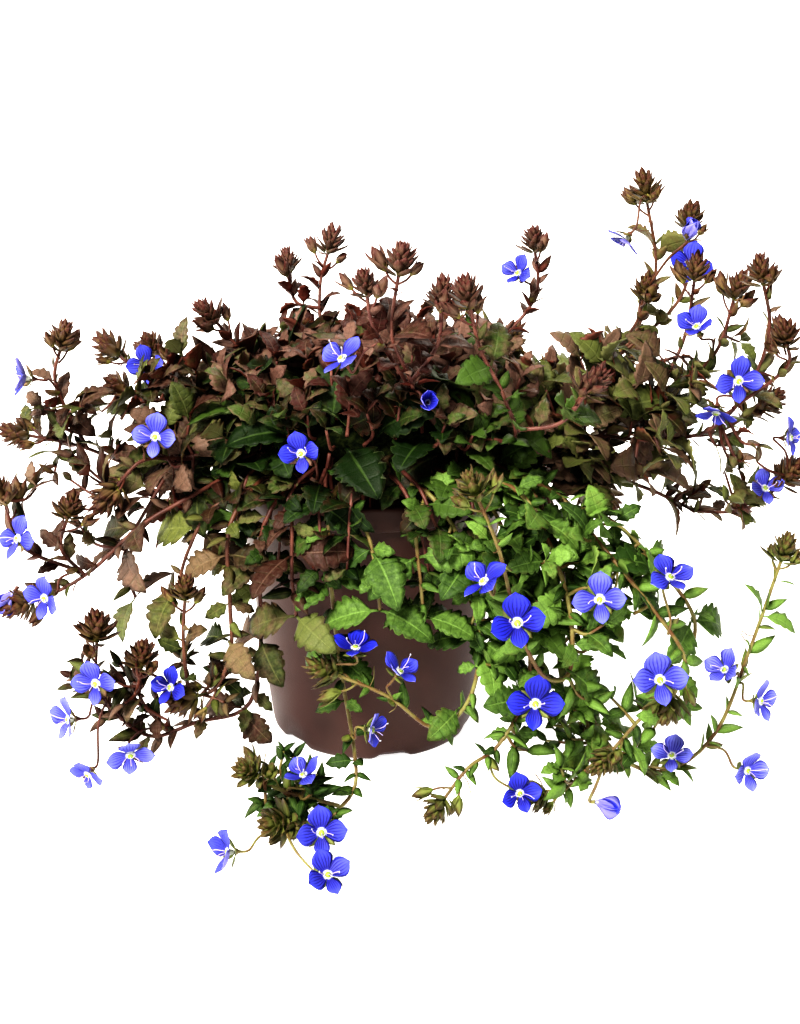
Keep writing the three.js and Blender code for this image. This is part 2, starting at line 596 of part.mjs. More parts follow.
// The stalk from the joint that is nearest a bloom to the back of the bloom.
function stalkSolid(joints, [middle, face, radius]) {
  const { n, up } = bloomFrame(face);
  const seat = v3(middle).addScaledVector(n, -THROAT_DEPTH - SEAT);
  const neck = seat.clone().addScaledVector(n, -radius * NECK);
  const from = nearest(joints, neck);
  const bend = from.node.clone().lerp(neck, 0.5).addScaledVector(from.t, STALK_BOW);
  const route = traceStem([from.node, bend, neck, seat], up, STALK_STEP);
  const { points, triangles } = tube(route, STALK_RADIUS, CUP_RADIUS, STALK_SIDES);
  return solid(points, triangles);
}

function nearest(joints, point) {
  const far = (joint) => joint.p.distanceTo(point);
  return joints.reduce((best, joint) => (far(joint) < far(best) ? joint : best));
}

// A lumpy flat ball that leaves cover.
function makeCore() {
  const geometry = new THREE.SphereGeometry(1, CORE_SIDES, CORE_SIDES / 2).rotateX(Math.PI / 2);
  const p = geometry.attributes.position;
  for (let i = 0; i < p.count; i++) {
    const [x, y, z] = [p.getX(i), p.getY(i), p.getZ(i)];
    const [alongX, alongY, alongZ, shift] = CORE_WAVES;
    const lump = 1 + CORE_LUMP * Math.sin(alongX * x + shift) * Math.cos(alongY * y + alongZ * z);
    p.setXYZ(i, x * lump, y * lump, z * lump);
  }
  return solidOf(geometry.scale(...CORE_RADII).translate(...CORE_MIDDLE));
}

// True if a point is in the core or close above it.
function inCore(p) {
  const share = (i, value) => ((value - CORE_MIDDLE[i]) / CORE_RADII[i]) ** 2;
  return share(0, p.x) + share(1, p.y) + share(2, p.z) < CORE_REACH;
}

// Where leaves stand on the core: a spiral of even steps from its top down to its lowest leaves.
function coreJoints() {
  return Array.from({ length: CORE_LEAVES }, (_, i) => {
    const height = 1 - ((1 - CORE_LOWEST) * (i + 0.5)) / CORE_LEAVES;
    const turn = radians(GOLDEN_TURN * i);
    const width = Math.sqrt(1 - height * height);
    const out = new THREE.Vector3(width * Math.cos(turn), width * Math.sin(turn), height);
    const t = out.clone().divide(v3(CORE_RADII)).normalize();
    const u = new THREE.Vector3(-Math.sin(turn), Math.cos(turn), 0);
    const node = out.multiplyScalar(CORE_SEAT).multiply(v3(CORE_RADII)).add(v3(CORE_MIDDLE));
    return { node, t, u, v: t.clone().cross(u) };
  });
}

// What stands so far. A leaf knows the stem or core that carries it, and its pair.
const standing = [];
function stand(made, carrier, pair) {
  standing.push({ made, box: made.boundingBox(), carrier, pair });
  return made;
}

// True if a leaf keeps clear of everything but the stem or core that carries it, and its mate.
function isClear(place, carrier, pair) {
  const test = leafSolid(place, BLADE + 2 * CLEARANCE, TEST_GROWTH);
  const box = test.boundingBox();
  if (box.min[2] < CLEARANCE) return false;
  const meets = (other) => [0, 1, 2].every((i) => box.min[i] <= other.max[i] && other.min[i] <= box.max[i]);
  return standing.every((other) => {
    if (other.made === carrier || (pair && other.pair === pair)) return true;
    return !meets(other.box) || test.intersect(other.made).isEmpty();
  });
}

// The stems of a shoot. Each starts at the soil or at the nearest joint of the stems before it.
function traceShoot({ root: [x, y], stems }) {
  const before = [];
  return stems.map(({ path, leaf }, i) => {
    const points = path.map(v3);
    const collar = new THREE.Vector3(x, y, COLLAR);
    if (i === 0) points.unshift(collar, new THREE.Vector3(x, y, COLLAR + COLLAR_RISE));
    else points[0] = nearest(before, points[0]).node;
    const away = points[points.length - 1].clone().sub(points[0]);
    const spacing = leaf > SHORT_LEAF && leaf <= MOST_BUDDED ? LEAF_SPACING : SHORT_SPACING;
    const joints = traceStem(points, new THREE.Vector3(-away.y, away.x, LEVEL).normalize(), spacing);
    before.push(...joints);
    const head = leaf > MOST_BUDDED ? 0 : HEAD_SIZE * (leaf > SHORT_LEAF ? 1 : SMALL_HEAD);
    if (i > 0) return { joints, leaf, head, first: 1, radius: BRANCH_RADIUS };
    const foot = { ...joints[0], p: new THREE.Vector3(x, y, SOIL_EDGE + SOIL_CROWN - PLANT_DEPTH + SEAT) };
    return { joints: [foot, ...joints], leaf, head, first: 2, radius: STEM_RADIUS };
  });
}

const group = new THREE.Group();
addMesh("pot", stand(makePot()), POT_TAUPE, 0.55);
addMesh("soil", stand(makeSoil()), SOIL_BROWN, 0.95);

// Stems, heads, stalks and blooms come first, because the leaves make way for them.
const grown = Object.entries(SHOOTS).map(([name, shoot]) => {
  const stems = traceShoot(shoot);
  const joints = stems.flatMap((stem) => stem.joints);
  const pieces = stems.map(({ joints: own, radius, head }) => stemSolid(own, radius, head));
  for (const bloom of shoot.blooms) pieces.push(stalkSolid(joints, bloom));
  const core = shoot.cored ? makeCore() : undefined;
  if (core) pieces.push(core);
  pieces.forEach((piece) => stand(piece));
  shoot.blooms.forEach((bloom, i) => {
    addMesh(`bloom_${name}_${i + 1}`, stand(bloomSolid(bloom)), PETAL_BLUE, 0.5);
  });
  return { name, stems, pieces, core, color: TONES[shoot.tone] };
});

// A leaf at a joint, in the first way of standing there that keeps clear of its neighbours.
function growLeaf(joint, lean, turn, length, draw, carrier, pair) {
  const lift = between(LIFT_RANGE, draw);
  const roll = between(ROLL_RANGE, draw);
  const tried = ([aside, higher, share]) =>
    placeLeaf(joint, lean, turn + aside, lift + higher, roll, length * share);
  const place = TRIES.map(tried).find((candidate) => isClear(candidate, carrier, pair));
  return place ? [stand(leafSolid(place, BLADE, 1), carrier, pair)] : [];
}

// Leaves stand in opposite pairs, each pair a quarter turn from the last, and shorter towards the tip.
grown.forEach(({ name, stems, pieces, core }, index) => {
  const draw = draws(index + 1);
  stems.forEach(({ joints, leaf, head, first }, i) => {
    for (let k = first; k < joints.length - (head ? 1 : 0); k++) {
      const taper = 1 - TIP_TAPER * (k / joints.length) ** 2;
      const turn = FIRST_TURN + PAIR_TURN * k + between(TURN_RANGE, draw);
      const length = leaf * taper * between(LENGTH_RANGE, draw);
      const pair = `${name} ${i} ${k}`;
      if (core && inCore(joints[k].node)) continue;
      for (const mate of [0, 180])
        pieces.push(...growLeaf(joints[k], LEAF_LEAN, turn + mate, length, draw, pieces[i], pair));
    }
  });
});

// The mound's leaves come last, in the room that is left between the stems.
const { pieces: moundPieces, core: moundCore } = grown.find(({ core }) => core);
const moundDraw = draws(grown.length + 1);
for (const joint of coreJoints()) {
  const length = CORE_LEAF * between(CORE_LENGTH_RANGE, moundDraw);
  const turn = 360 * moundDraw();
  moundPieces.push(...growLeaf(joint, CORE_LEAN, turn, length, moundDraw, moundCore));
}

// A shoot's pieces joined. A hollow that they seal is filled.
for (const { name, pieces, color } of grown) {
  const bodies = wasm.Manifold.union(pieces).decompose();
  addMesh(`shoot_${name}`, bodies.sort((a, b) => b.volume() - a.volume())[0], color, 0.6);
}

export default group;
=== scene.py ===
import math
from collections import namedtuple
from itertools import compress

import bpy
import numpy as np
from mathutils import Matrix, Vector
from mathutils.kdtree import KDTree


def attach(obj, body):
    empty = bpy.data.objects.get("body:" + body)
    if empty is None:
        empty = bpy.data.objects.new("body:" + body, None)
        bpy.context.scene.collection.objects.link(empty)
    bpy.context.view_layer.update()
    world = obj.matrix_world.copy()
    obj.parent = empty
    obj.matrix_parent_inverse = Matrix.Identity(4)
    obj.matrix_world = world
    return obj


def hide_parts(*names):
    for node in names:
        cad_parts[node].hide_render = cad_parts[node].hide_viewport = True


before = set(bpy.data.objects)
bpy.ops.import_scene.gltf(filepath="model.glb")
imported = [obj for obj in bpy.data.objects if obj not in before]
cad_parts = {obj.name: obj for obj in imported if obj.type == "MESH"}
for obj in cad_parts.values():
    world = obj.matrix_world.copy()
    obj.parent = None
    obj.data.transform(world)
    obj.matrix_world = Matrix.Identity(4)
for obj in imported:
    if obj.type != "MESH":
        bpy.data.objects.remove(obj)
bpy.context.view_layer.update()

# A potted Georgia blue speedwell in a small round nursery pot, photographed in front of white.
# Shapes are worked out in millimetres, and become metres where a mesh is made. +Z is up, the origin is the
# centre of the pot's flat base, and the viewer stands at -Y.
MM = 0.001

# Stems, as in the solids
COLLAR = 72.5
COLLAR_RISE = 7
SOIL_EDGE = 68
SOIL_CROWN = 3
FOOT = 63.3
STEM_RADIUS = 0.95
BRANCH_RADIUS = 0.75
STEM_TIP_RADIUS = 0.6
STALK_RADIUS = 0.4
STALK_BOW = 2
NECK = 0.5
SEAT = 0.3
PAST_RING = 0.08
LEVEL = 0.01
SAMPLES = 96
HEAD_SIZE = 9
SMALL_HEAD = 0.85

# Leaves, as in the solids
LEAF_SPACING = 20
SHORT_SPACING = 15
SHORT_LEAF = 10
MOST_BUDDED = 16
LONG_LEAF = 17
LEAF_LEAN = 0.45
LEAF_FLATNESS = 0.7
OVERHANG = 55
FIRST_TURN = 45
PAIR_TURN = 90
TIP_TAPER = 0.4
LENGTH_RANGE = (0.88, 1.12)
CORE_LENGTH_RANGE = (0.85, 1.15)
TURN_RANGE = (-20, 20)
LIFT_RANGE = (-6, 18)
ROLL_RANGE = (-18, 18)
BROAD_LEAF = [
    (0.28, 0.25, 0.04), (0.4, 0.22, 0.04), (0.5, 0.31, 0.05), (0.63, 0.2, 0.02), (0.73, 0.21, 0.01),
]
SMALL_LEAF = [(0.36, 0.29, 0.05), (0.54, 0.2, 0.03), (0.68, 0.23, 0.01)]
LEAF_TIP_DROP = 0.1
FEWEST_HITS = 2
HIT = 0.05
TRIES = [
    (0, 0, 1), (18, 8, 1), (-18, 8, 1), (0, 24, 0.95), (36, 0, 0.9), (-36, 0, 0.9),
    (0, -20, 0.85), (54, 14, 0.8), (-54, 14, 0.8), (0, 12, 0.7), (30, 34, 0.65), (-30, 34, 0.65),
]

# The mound's core, as in the solids
CORE_MIDDLE = np.array([2, -2, 93])
CORE_RADII = np.array([42, 38, 12])
CORE_LEAVES = 72
CORE_LEAF = 20
CORE_LEAN = 0.8
CORE_SEAT = 0.86
CORE_LOWEST = -0.5
CORE_REACH = 1.1
GOLDEN_TURN = 137.5

# Blooms, as in the solids but for the last two
PETALS = [(1.0, 0.46), (0.96, 0.42), (0.86, 0.3), (0.96, 0.42)]
THROAT_DEPTH = 1.6
EYE_SIZE = 5.9  # the radius of a bloom whose eye and throat have the sizes that make_flower gives
PETAL_VEINS = 7

# The pot, as in the solids
POT_HEIGHT = 78
BASE_RADIUS = 29
BODY_TOP_RADIUS = 37
RIM_RADIUS = 40
RIM_BAND = 7
WALL = 1
FLOOR = 1.2
DRAIN_COUNT = 6
FIRST_DRAIN = -78
DRAIN_TOP = 5
DRAIN_SIDE = 7
DRAIN_RISE = 1.5

Joint = namedtuple("Joint", "p t u v node")
Stem = namedtuple("Stem", "fine joints leaf head first radius")
Place = namedtuple("Place", "root along up length narrow", defaults=[False])
Blade = namedtuple("Blade", "along across up uv")
Shoot = namedtuple("Shoot", "tone root stems blooms young cored", defaults=[None, False])

# Each shoot, as in the solids: its tone, where it stands in the soil, its stems as the length of their
# longest leaf and the points that they pass through, and its blooms as a middle, the way that they face,
# and a radius. young is the tone of its colours where that isn't its own, and the cored shoot grows on the
# mound's core.
SHOOTS = {
    "left_high": Shoot("bronze", (-28, 1), [
        (16, (-38, -2, 83), (-50, -6, 78), (-62, -10, 79), (-78, -12, 86), (-93, -14, 90)),
        (9, (-78, -12, 86), (-83, -12, 103), (-81, -10, 114)),
        (15, (-38, -2, 83), (-50, 8, 90), (-61, 17, 94), (-74, 22, 104)),
        (10, (-50, 8, 90), (-60, 4, 94), (-68, 0, 99)),
        (18, (-38, -2, 83), (-47, 1, 75), (-50, 2, 62)),
    ], [
        ((-89, -20, 107), (-0.95, -0.4, 0.25), 6.5), ((-62, 8, 103), (-0.2, -0.9, 0.35), 6.2),
    ]),
    "left_mid": Shoot("bronze", (-26, -9), [
        (14, (-33, -22, 83), (-44, -33, 80), (-58, -38, 73), (-70, -43, 63), (-79, -46, 58),
         (-87, -49, 56)),
        (9, (-70, -43, 63), (-77, -46, 70), (-74, -47, 80)),
        (9, (-79, -46, 58), (-87, -45, 70), (-91, -44, 83)),
        (17, (-33, -22, 83), (-48, -22, 86), (-58, -27, 74), (-65, -29, 60), (-62, -31, 50)),
        (12, (-48, -22, 86), (-58, -31, 88), (-66, -34, 80)),
    ], [
        ((-86, -53, 75), (-0.6, -0.7, 0.4), 6.2), ((-80, -55, 60), (-0.4, -0.9, 0.1), 6.4),
        ((-54, -33, 95), (-0.1, -0.9, 0.3), 6.4),
    ]),
    "left_hang": Shoot("moss", (-22, -18), [
        (15, (-28, -33, 83), (-35, -43, 74), (-35, -48, 56), (-35, -50, 44), (-39, -52, 34),
         (-46, -52, 31)),
        (9, (-39, -52, 34), (-47, -50, 46), (-46, -49, 59)),
        (17, (-28, -33, 83), (-40, -37, 77), (-46, -41, 67), (-49, -43, 57)),
    ], [
        ((-50, -56, 36), (-0.5, -0.7, 0.5), 5.8),
    ]),
    "left_low": Shoot("bronze", (-14, -25), [
        (14, (-20, -37, 83), (-27, -44, 72), (-28, -44, 42), (-32, -45, 25), (-45, -48, 22),
         (-56, -52, 20), (-64, -55, 28), (-68, -57, 38), (-67, -58, 52)),
        (9, (-56, -52, 20), (-58, -54, 32), (-57, -55, 43)),
        (18, (-20, -37, 83), (-19, -46, 76), (-19, -50, 64), (-18, -52, 54)),
    ], [
        ((-67, -64, 41), (-0.3, -0.9, 0.2), 6.4), ((-75, -62, 30), (-0.85, -0.5, 0.1), 6.6),
        ((-60, -62, 20), (0.2, -0.95, -0.2), 6.6), ((-71, -63, 15), (-0.4, -0.8, -0.3), 5.6),
    ]),
    "front_left": Shoot("fresh", (-5, -29), [
        (14, (-8, -39, 83), (-10, -46, 74), (-9, -48, 56), (-7, -49, 36), (-4, -53, 18), (-4, -59, 8),
         (-12, -68, 5), (-21, -76, 9)),
        (9, (-12, -68, 5), (-22, -70, 15), (-28, -76, 23)),
        (18, (-8, -39, 83), (-1, -47, 76), (2, -51, 66), (3, -53, 56)),
    ], [
        ((-11, -82, 10), (0.1, -0.85, 0.4), 7), ((-9, -94, 6), (0.2, -0.6, 0.7), 6.6),
        ((-33, -89, 9), (-0.9, -0.4, 0.15), 6.8), ((-16, -70, 19), (-0.3, -0.2, 0.9), 6),
        ((1, -58, 25), (0.9, -0.5, 0.1), 5.8),
    ]),
    "front_mid": Shoot("fresh", (6, -29), [
        (15, (14, -39, 83), (23, -47, 72), (28, -50, 50), (26, -53, 32), (17, -55, 24), (5, -57, 34),
         (-10, -57, 41)),
        (18, (14, -39, 83), (12, -48, 76), (13, -51, 64), (14, -53, 54)),
    ], [
        ((-3, -60, 49), (0, -0.25, 1), 6.4), ((8, -61, 43), (0.5, -0.3, 0.85), 6),
    ]),
    "front_rise": Shoot("fresh", (15, -25), [
        (16, (27, -33, 83), (39, -45, 83), (49, -56, 62), (50, -62, 44), (43, -68, 45), (36, -72, 60),
         (31, -74, 80), (25, -75, 95)),
        (15, (27, -33, 83), (34, -46, 74), (40, -53, 50), (40, -55, 34), (33, -60, 22), (25, -65, 18),
         (18, -69, 10)),
    ], [
        ((35, -81, 65), (0, -0.9, 0.4), 7.6), ((27, -80, 75), (-0.5, -0.35, 0.8), 6.6),
        ((41, -69, 38), (0, -0.9, 0.5), 7.6), ((38, -67, 12), (0.2, -0.9, 0.3), 6.2),
    ]),
    "front_right": Shoot("fresh", (22, -19), [
        (16, (35, -25, 83), (48, -38, 81), (58, -50, 72), (69, -58, 60), (78, -62, 47), (75, -63, 35)),
        (14, (48, -38, 81), (62, -41, 75), (74, -46, 64), (83, -48, 50), (78, -52, 36), (67, -58, 26),
         (60, -63, 20)),
    ], [
        ((56, -65, 64), (-0.2, -0.9, 0.3), 7), ((73, -63, 69), (0.2, -0.5, 0.8), 6.6),
        ((70, -74, 47), (0, -0.9, 0.4), 7.6),
    ]),
    "floor_right": Shoot("moss", (28, -12), [
        (13, (38, -24, 83), (48, -38, 68), (54, -47, 34), (64, -49, 14), (78, -47, 7), (91, -45, 17),
         (99, -42, 40), (106, -40, 66)),
        (12, (54, -47, 34), (57, -53, 16), (51, -56, 7), (44, -58, 6)),
    ], [
        ((91, -50, 38), (-0.6, -0.5, 0.6), 6.2), ((101, -50, 29), (0.7, -0.6, 0.2), 6.4),
        ((98, -54, 11), (0.5, -0.8, 0.2), 6.6), ((78, -55, 16), (-0.2, -0.5, 0.8), 6),
    ], young="fresh"),
    "right_long": Shoot("bronze", (29, 4), [
        (15, (40, 1, 83), (53, -3, 84), (66, -2, 75), (79, 0, 69), (93, 0, 63), (106, -4, 66),
         (114, -8, 76)),
        (14, (53, -3, 84), (70, 6, 88), (84, 9, 83), (97, 7, 84), (109, 3, 94)),
        (17, (40, 1, 83), (47, 8, 74), (50, 12, 60)),
    ], [
        ((113, -11, 88), (0.8, -0.5, 0.2), 6), ((107, -12, 74), (0.1, -0.7, 0.6), 5.8),
    ]),
    "right_top": Shoot("moss", (23, 19), [
        (16, (34, 20, 83), (56, 24, 90), (73, 28, 103), (81, 30, 124), (77, 30, 147)),
        (9, (73, 28, 103), (88, 27, 118), (89, 26, 140)),
        (13, (56, 24, 90), (66, 19, 103), (74, 18, 112), (76, 16, 122)),
        (17, (34, 20, 83), (42, 27, 75), (45, 31, 60)),
    ], [
        ((71, 24, 135), (-0.6, -0.2, -0.75), 6.4), ((88, 14, 130), (-0.1, -0.85, 0.4), 6.6),
    ]),
    "right_upper": Shoot("bronze", (30, -4), [
        (15, (41, -8, 83), (60, -10, 88), (76, -10, 87), (90, -14, 91), (99, -17, 103), (103, -18, 119),
         (100, -18, 133)),
        (14, (60, -10, 88), (76, -4, 97), (91, -7, 109), (96, -8, 127)),
        (9, (76, -4, 97), (85, 2, 112), (87, 2, 130)),
        (8, (99, -17, 103), (107, -22, 110), (106, -24, 118)),
    ], [
        ((85, -14, 119), (-0.4, -0.5, 0.75), 6.2), ((94, -27, 108), (0.1, -0.9, 0.1), 6.8),
        ((90, -22, 98), (-0.2, -0.6, -0.7), 6),
    ]),
    "mound": Shoot("deep", (2, -2), [
        (18, (2, -2, 86), (2, -2, 98)),
        (15, (2, -2, 98), (8, -24, 102), (11, -37, 108), (10, -43, 114), (6, -46, 125), (8, -46, 141)),
        (8, (10, -43, 114), (2, -47, 126), (0, -48, 136)),
        (9, (10, -43, 114), (17, -45, 122), (18, -44, 133)),
        (14, (2, -2, 86), (26, -30, 94), (36, -44, 98), (33, -49, 110), (27, -50, 122), (24, -50, 134)),
        (14, (36, -44, 98), (47, -47, 103), (54, -47, 112)),
        (15, (2, -2, 98), (-13, 24, 106), (-15, 31, 120), (-12, 33, 132)),
        (8, (-13, 24, 106), (-22, 28, 117), (-24, 30, 127)),
        (16, (2, -2, 98), (-24, 6, 102), (-35, 5, 108), (-43, 3, 118)),
        (15, (2, -2, 98), (26, 14, 103), (40, 24, 110), (47, 27, 120), (46, 28, 133)),
        (14, (2, -2, 98), (20, 24, 104), (26, 34, 115)),
    ], [
        ((-6, -47, 119), (-0.5, -0.4, 0.75), 6.8), ((41, 22, 126), (-0.5, -0.6, 0.6), 5.8),
        ((-16, -50, 96), (-0.2, -0.9, 0.3), 6),
    ], cored=True),
    "back_left": Shoot("bronze", (-24, 17), [
        (16, (-32, 28, 83), (-48, 40, 83), (-60, 48, 64), (-65, 52, 46)),
        (13, (-48, 40, 83), (-58, 34, 92), (-64, 32, 102)),
        (17, (-32, 28, 83), (-38, 36, 74), (-40, 39, 60)),
    ], [
        ((-66, 58, 62), (-0.5, 0.8, 0.3), 6.4),
    ]),
    "back_mid": Shoot("deep", (-8, 28), [
        (17, (-12, 39, 83), (-18, 56, 74), (-21, 66, 50), (-26, 73, 28), (-34, 80, 12)),
        (15, (-12, 39, 83), (-24, 50, 83), (-34, 60, 68)),
        (18, (-12, 39, 83), (-4, 48, 76), (0, 52, 64), (1, 54, 52)),
    ], [
        ((-36, 72, 60), (-0.3, 0.9, 0.3), 6.6),
    ]),
    "back_right": Shoot("moss", (11, 28), [
        (16, (15, 39, 83), (21, 56, 78), (27, 70, 60), (31, 78, 36), (34, 86, 14)),
        (12, (21, 56, 78), (34, 58, 86), (42, 60, 98)),
        (16, (15, 39, 83), (36, 44, 84), (52, 50, 78), (66, 56, 62), (74, 60, 46)),
        (13, (52, 50, 78), (66, 46, 88), (78, 44, 98)),
        (18, (15, 39, 83), (25, 44, 75), (28, 47, 60)),
    ], [
        ((38, 84, 38), (0.5, 0.8, 0.3), 6.6),
    ]),
}

# Extra growth that the solids leave out
SMALL_STEP = 5  # between the small leaves along a stem
SMALL_SIZES = (5.5, 9.5)
SMALL_CHANCE = 0.85
SIDE_BUDS = 2
HEAD_BRACTS = 34
SPENT_STALKS = 3
TWIGS = 90
TWIG_SIZES = (8, 15)
SKIRT_TWIGS = 34
UNDERGROWTH = 46
CRUMBS = 160
LONGEST_TWIG = 30
TWIG_REACH = 6
LONGEST_STALK = 24
FACE_SPREAD = 100
FACE_LIGHT = 0.25
FACE_CHANCE = 0.3
# In the hollow few leaves stand, so that the near-black core shows there as painted shade; leaves round it
# are painted darker.
HOLLOW = ((-4, -41, 92), (23, 12, 9))  # the dark gap in the mound's front, where few leaves stand
SLIM = 0.72  # the thickness of a stem, as a share of the solid's
HAIRS = 5  # on a millimetre of stem
LOWEST = 2  # no leaf hangs lower
LOWEST_BRACT = 1
LOWEST_TWIG = 3
BEFORE_BLOOM = (-2, 14)  # no leaf lies this far before a bloom
HEAD_CLEAR = 5  # no leaf lies this near to a head's middle
BIG_LEAF = 10
TINY_LEAF = 6

# Clouds of leafy side twigs: the shoots that carry them, the middle and radii of the cloud that their tips
# fill, how many there are, the length of their leaves, and the share that has narrow leaves without teeth
RIGHT = ("right_top", "right_upper", "right_long")
FRONT = ("front_mid", "front_rise", "front_right", "floor_right")
CLOUDS = [
    (("left_high", "left_mid", "left_hang", "back_left"), (-50, -8, 92), (26, 26, 19), 50, (10, 16), 0.1),
    (("left_high", "left_mid"), (-80, -22, 86), (15, 20, 20), 16, (7, 11), 0.4),
    ((*RIGHT, "back_right"), (58, -6, 92), (34, 28, 20), 44, (12, 18), 0.03),
    (RIGHT, (90, -10, 92), (20, 20, 26), 26, (6, 10), 0.4),
    (FRONT, (42, -50, 58), (30, 14, 26), 56, (8, 14), 0.2),
    (FRONT, (58, -54, 28), (26, 14, 17), 26, (6, 10), 0.6),
    (("left_low", "left_hang"), (-58, -50, 34), (28, 12, 14), 24, (5, 8), 0.8),
    (("front_left",), (-18, -66, 12), (16, 14, 11), 16, (5, 8), 0.8),
    (("back_left", "back_mid", "back_right"), (0, 46, 88), (46, 26, 22), 64, (10, 15), 0.15),
]

# Blooms that haven't opened: their shoot, middle, the way that they face, length, and how far they are
# open, in degrees
CLOSED = [
    ("left_mid", (-91, -50, 57), (-0.6, -0.3, -0.7), 6.5, 12),
    ("right_top", (84, -2, 142), (0.1, -0.5, 0.8), 6.5, 24),
    ("mound", (15, -42, 107), (0.1, -0.9, 0.4), 5, 42),
    ("front_right", (61, -62, 5.5), (0.8, -0.3, -0.1), 6.5, 12),
]

# How bronze each shoot's leaves are, from green at 0 to bronze at 1, and how much that varies
BRONZE = {"bronze": (0.62, 0.5), "moss": (0.42, 0.45), "deep": (0.12, 0.35), "fresh": (0.0, 0.25)}
YOUNG_GREEN = 0.1  # how much less bronze the leaves of a shoot with young colours are
TOP_BRONZE = (94, 112)  # the mound turns bronze between these heights
GREENER = 30  # past this x leaves are less bronze
GREEN_STEM = (20, -44)  # past this x and before this y the mound's stems keep green leaves

# How light leaves are, as painted shade and painted light: crowding is counted at a step away from the
# plant's heart, within a reach, and paints shade; painted light grows between two places of x; and painted
# shade falls round the hollow within the last reach
HEART = (0, 10, 60)
CROWD_STEP = 7
CROWD_REACH = 8
PAINTED_LIGHT_X = (8, 34)
PAINTED_SHADE_REACH = 20

# How pale each shoot's flowers are; those of the others are FULL_BLUE
PALE = {
    "left_low": 0.6, "floor_right": 0.9, "right_long": 0.6, "front_right": 0.4, "left_mid": 0.4,
    "mound": 0.35, "right_upper": 0.4, "front_left": 0.2,
}
FULL_BLUE = 0.1
PALE_SPREAD = 0.25

# Seeds of the random draws
SHOOT_SEED = 100
FLOWER_SEED = 900
CLOUD_SEED = 3
SOIL_SEED = 7
CORE_SEED = 11

# Leaf colours for each tone: dark green, light green, dark bronze, light bronze, and the two undersides. A
# leaf's shade mark picks between dark and light, partly as its own tone and partly as painted shade and
# light.
# Stem colours are dark and light, and bud colours are those of the root, the middle and the tip.
PALETTES = {
    "bronze": [
        (0.01, 0.017, 0.003), (0.09, 0.105, 0.03), (0.028, 0.007, 0.0045), (0.128, 0.078, 0.055),
        (0.12, 0.12, 0.05), (0.1, 0.022, 0.014),
    ],
    "moss": [
        (0.012, 0.02, 0.003), (0.11, 0.125, 0.032), (0.025, 0.009, 0.0045), (0.135, 0.091, 0.052),
        (0.11, 0.11, 0.04), (0.095, 0.03, 0.016),
    ],
    "deep": [
        (0.005, 0.014, 0.002), (0.046, 0.084, 0.015), (0.034, 0.006, 0.0045), (0.142, 0.079, 0.06),
        (0.08, 0.11, 0.04), (0.1, 0.022, 0.014),
    ],
    "fresh": [
        (0.022, 0.048, 0.009), (0.125, 0.215, 0.045), (0.04, 0.03, 0.006), (0.13, 0.1, 0.03),
        (0.13, 0.2, 0.05), (0.13, 0.11, 0.035),
    ],
}
STEM_COLOURS = {
    "bronze": [(0.04, 0.01, 0.007), (0.1, 0.032, 0.02)],
    "moss": [(0.045, 0.014, 0.008), (0.12, 0.048, 0.025)],
    "deep": [(0.055, 0.014, 0.011), (0.14, 0.053, 0.038)],
    "fresh": [(0.1, 0.045, 0.018), (0.17, 0.16, 0.05)],
}
BUD_COLOURS = {
    "bronze": [(0.17, 0.17, 0.028), (0.14, 0.088, 0.04), (0.055, 0.015, 0.009)],
    "moss": [(0.17, 0.19, 0.028), (0.15, 0.108, 0.04), (0.06, 0.019, 0.01)],
    "deep": [(0.18, 0.18, 0.028), (0.145, 0.085, 0.058), (0.065, 0.016, 0.012)],
    "fresh": [(0.15, 0.2, 0.03), (0.14, 0.16, 0.042), (0.08, 0.05, 0.018)],
}

EYE_COLOUR = (0.5, 0.53, 0.6)

# The light, in metres and watts, and the camera
WARM = (1, 0.95, 0.86)
SKY = (1, 0.96, 0.9, 1)
SKY_LIGHT = 0.4
LIGHTS = [
    ("key light", (-0.5, -0.95, 1.15), (0, 0, 0.08), 0.35, 54),
    ("side light", (-1.0, 0.2, 0.35), (0, 0, 0.06), 0.4, 11),
    ("back light", (0.5, 1.0, 0.9), (0, 0, 0.08), 0.5, 12),
]
GROUND_REACH = 15
LENS = 53.1
SENSOR = 36
CAMERA_PLACE = (0.008, -0.399, 0.208)
CAMERA_TILT = 70


def draws(seed):
    """The seeded numbers from 0 to 1 that the solids are grown with."""
    state = (seed * 7919 + 17) % 2 ** 32
    while True:
        state = (state * 1664525 + 1013904223) % 2 ** 32
        yield state / 2 ** 32


def between(limits, draw):
    """The next number of draw, spread evenly over the limits."""
    return limits[0] + (limits[1] - limits[0]) * next(draw)


def unit(v):
    """v over its own length."""
    v = np.asarray(v, float)
    return v / np.linalg.norm(v, axis=-1, keepdims=True)


def turned(v, axis, degrees):
    """v turned about an axis that is square to it: v times the cosine, plus axis x v times the sine."""
    angle = math.radians(degrees)
    return v * math.cos(angle) + np.cross(axis, v) * math.sin(angle)


def spoke(u, v, degrees):
    """The way at an angle from u towards v: the cosine times u, plus the sine times v."""
    angle = math.radians(degrees)
    return math.cos(angle) * u + math.sin(angle) * v


def step_lengths(path):
    """How far it is from each point of a path to the next."""
    return np.linalg.norm(np.diff(path, axis=0), axis=1)


def point_tree(points):
    """Points, for finding the nearest."""
    tree = KDTree(len(points))
    for i, point in enumerate(points):
        tree.insert(point, i)
    tree.balance()
    return tree


def curve_points(points, samples=SAMPLES):
    """A curve through points: between two of them it is the cubic whose slope at each is half the way
    between that point's neighbours. Each end leans on a mirrored neighbour."""
    p = np.array(points, float)
    p = np.vstack([2 * p[0] - p[1], p, 2 * p[-1] - p[-2]])
    at = np.linspace(0, len(points) - 1, samples + 1)
    i = np.minimum(at.astype(int), len(points) - 2)
    w = (at - i)[:, None]
    a, b, c, d = p[i], p[i + 1], p[i + 2], p[i + 3]
    start, end = (c - a) / 2, (d - b) / 2
    square = 3 * c - 3 * b - 2 * start - end
    cube = 2 * b - 2 * c + start + end
    return b + start * w + square * w ** 2 + cube * w ** 3


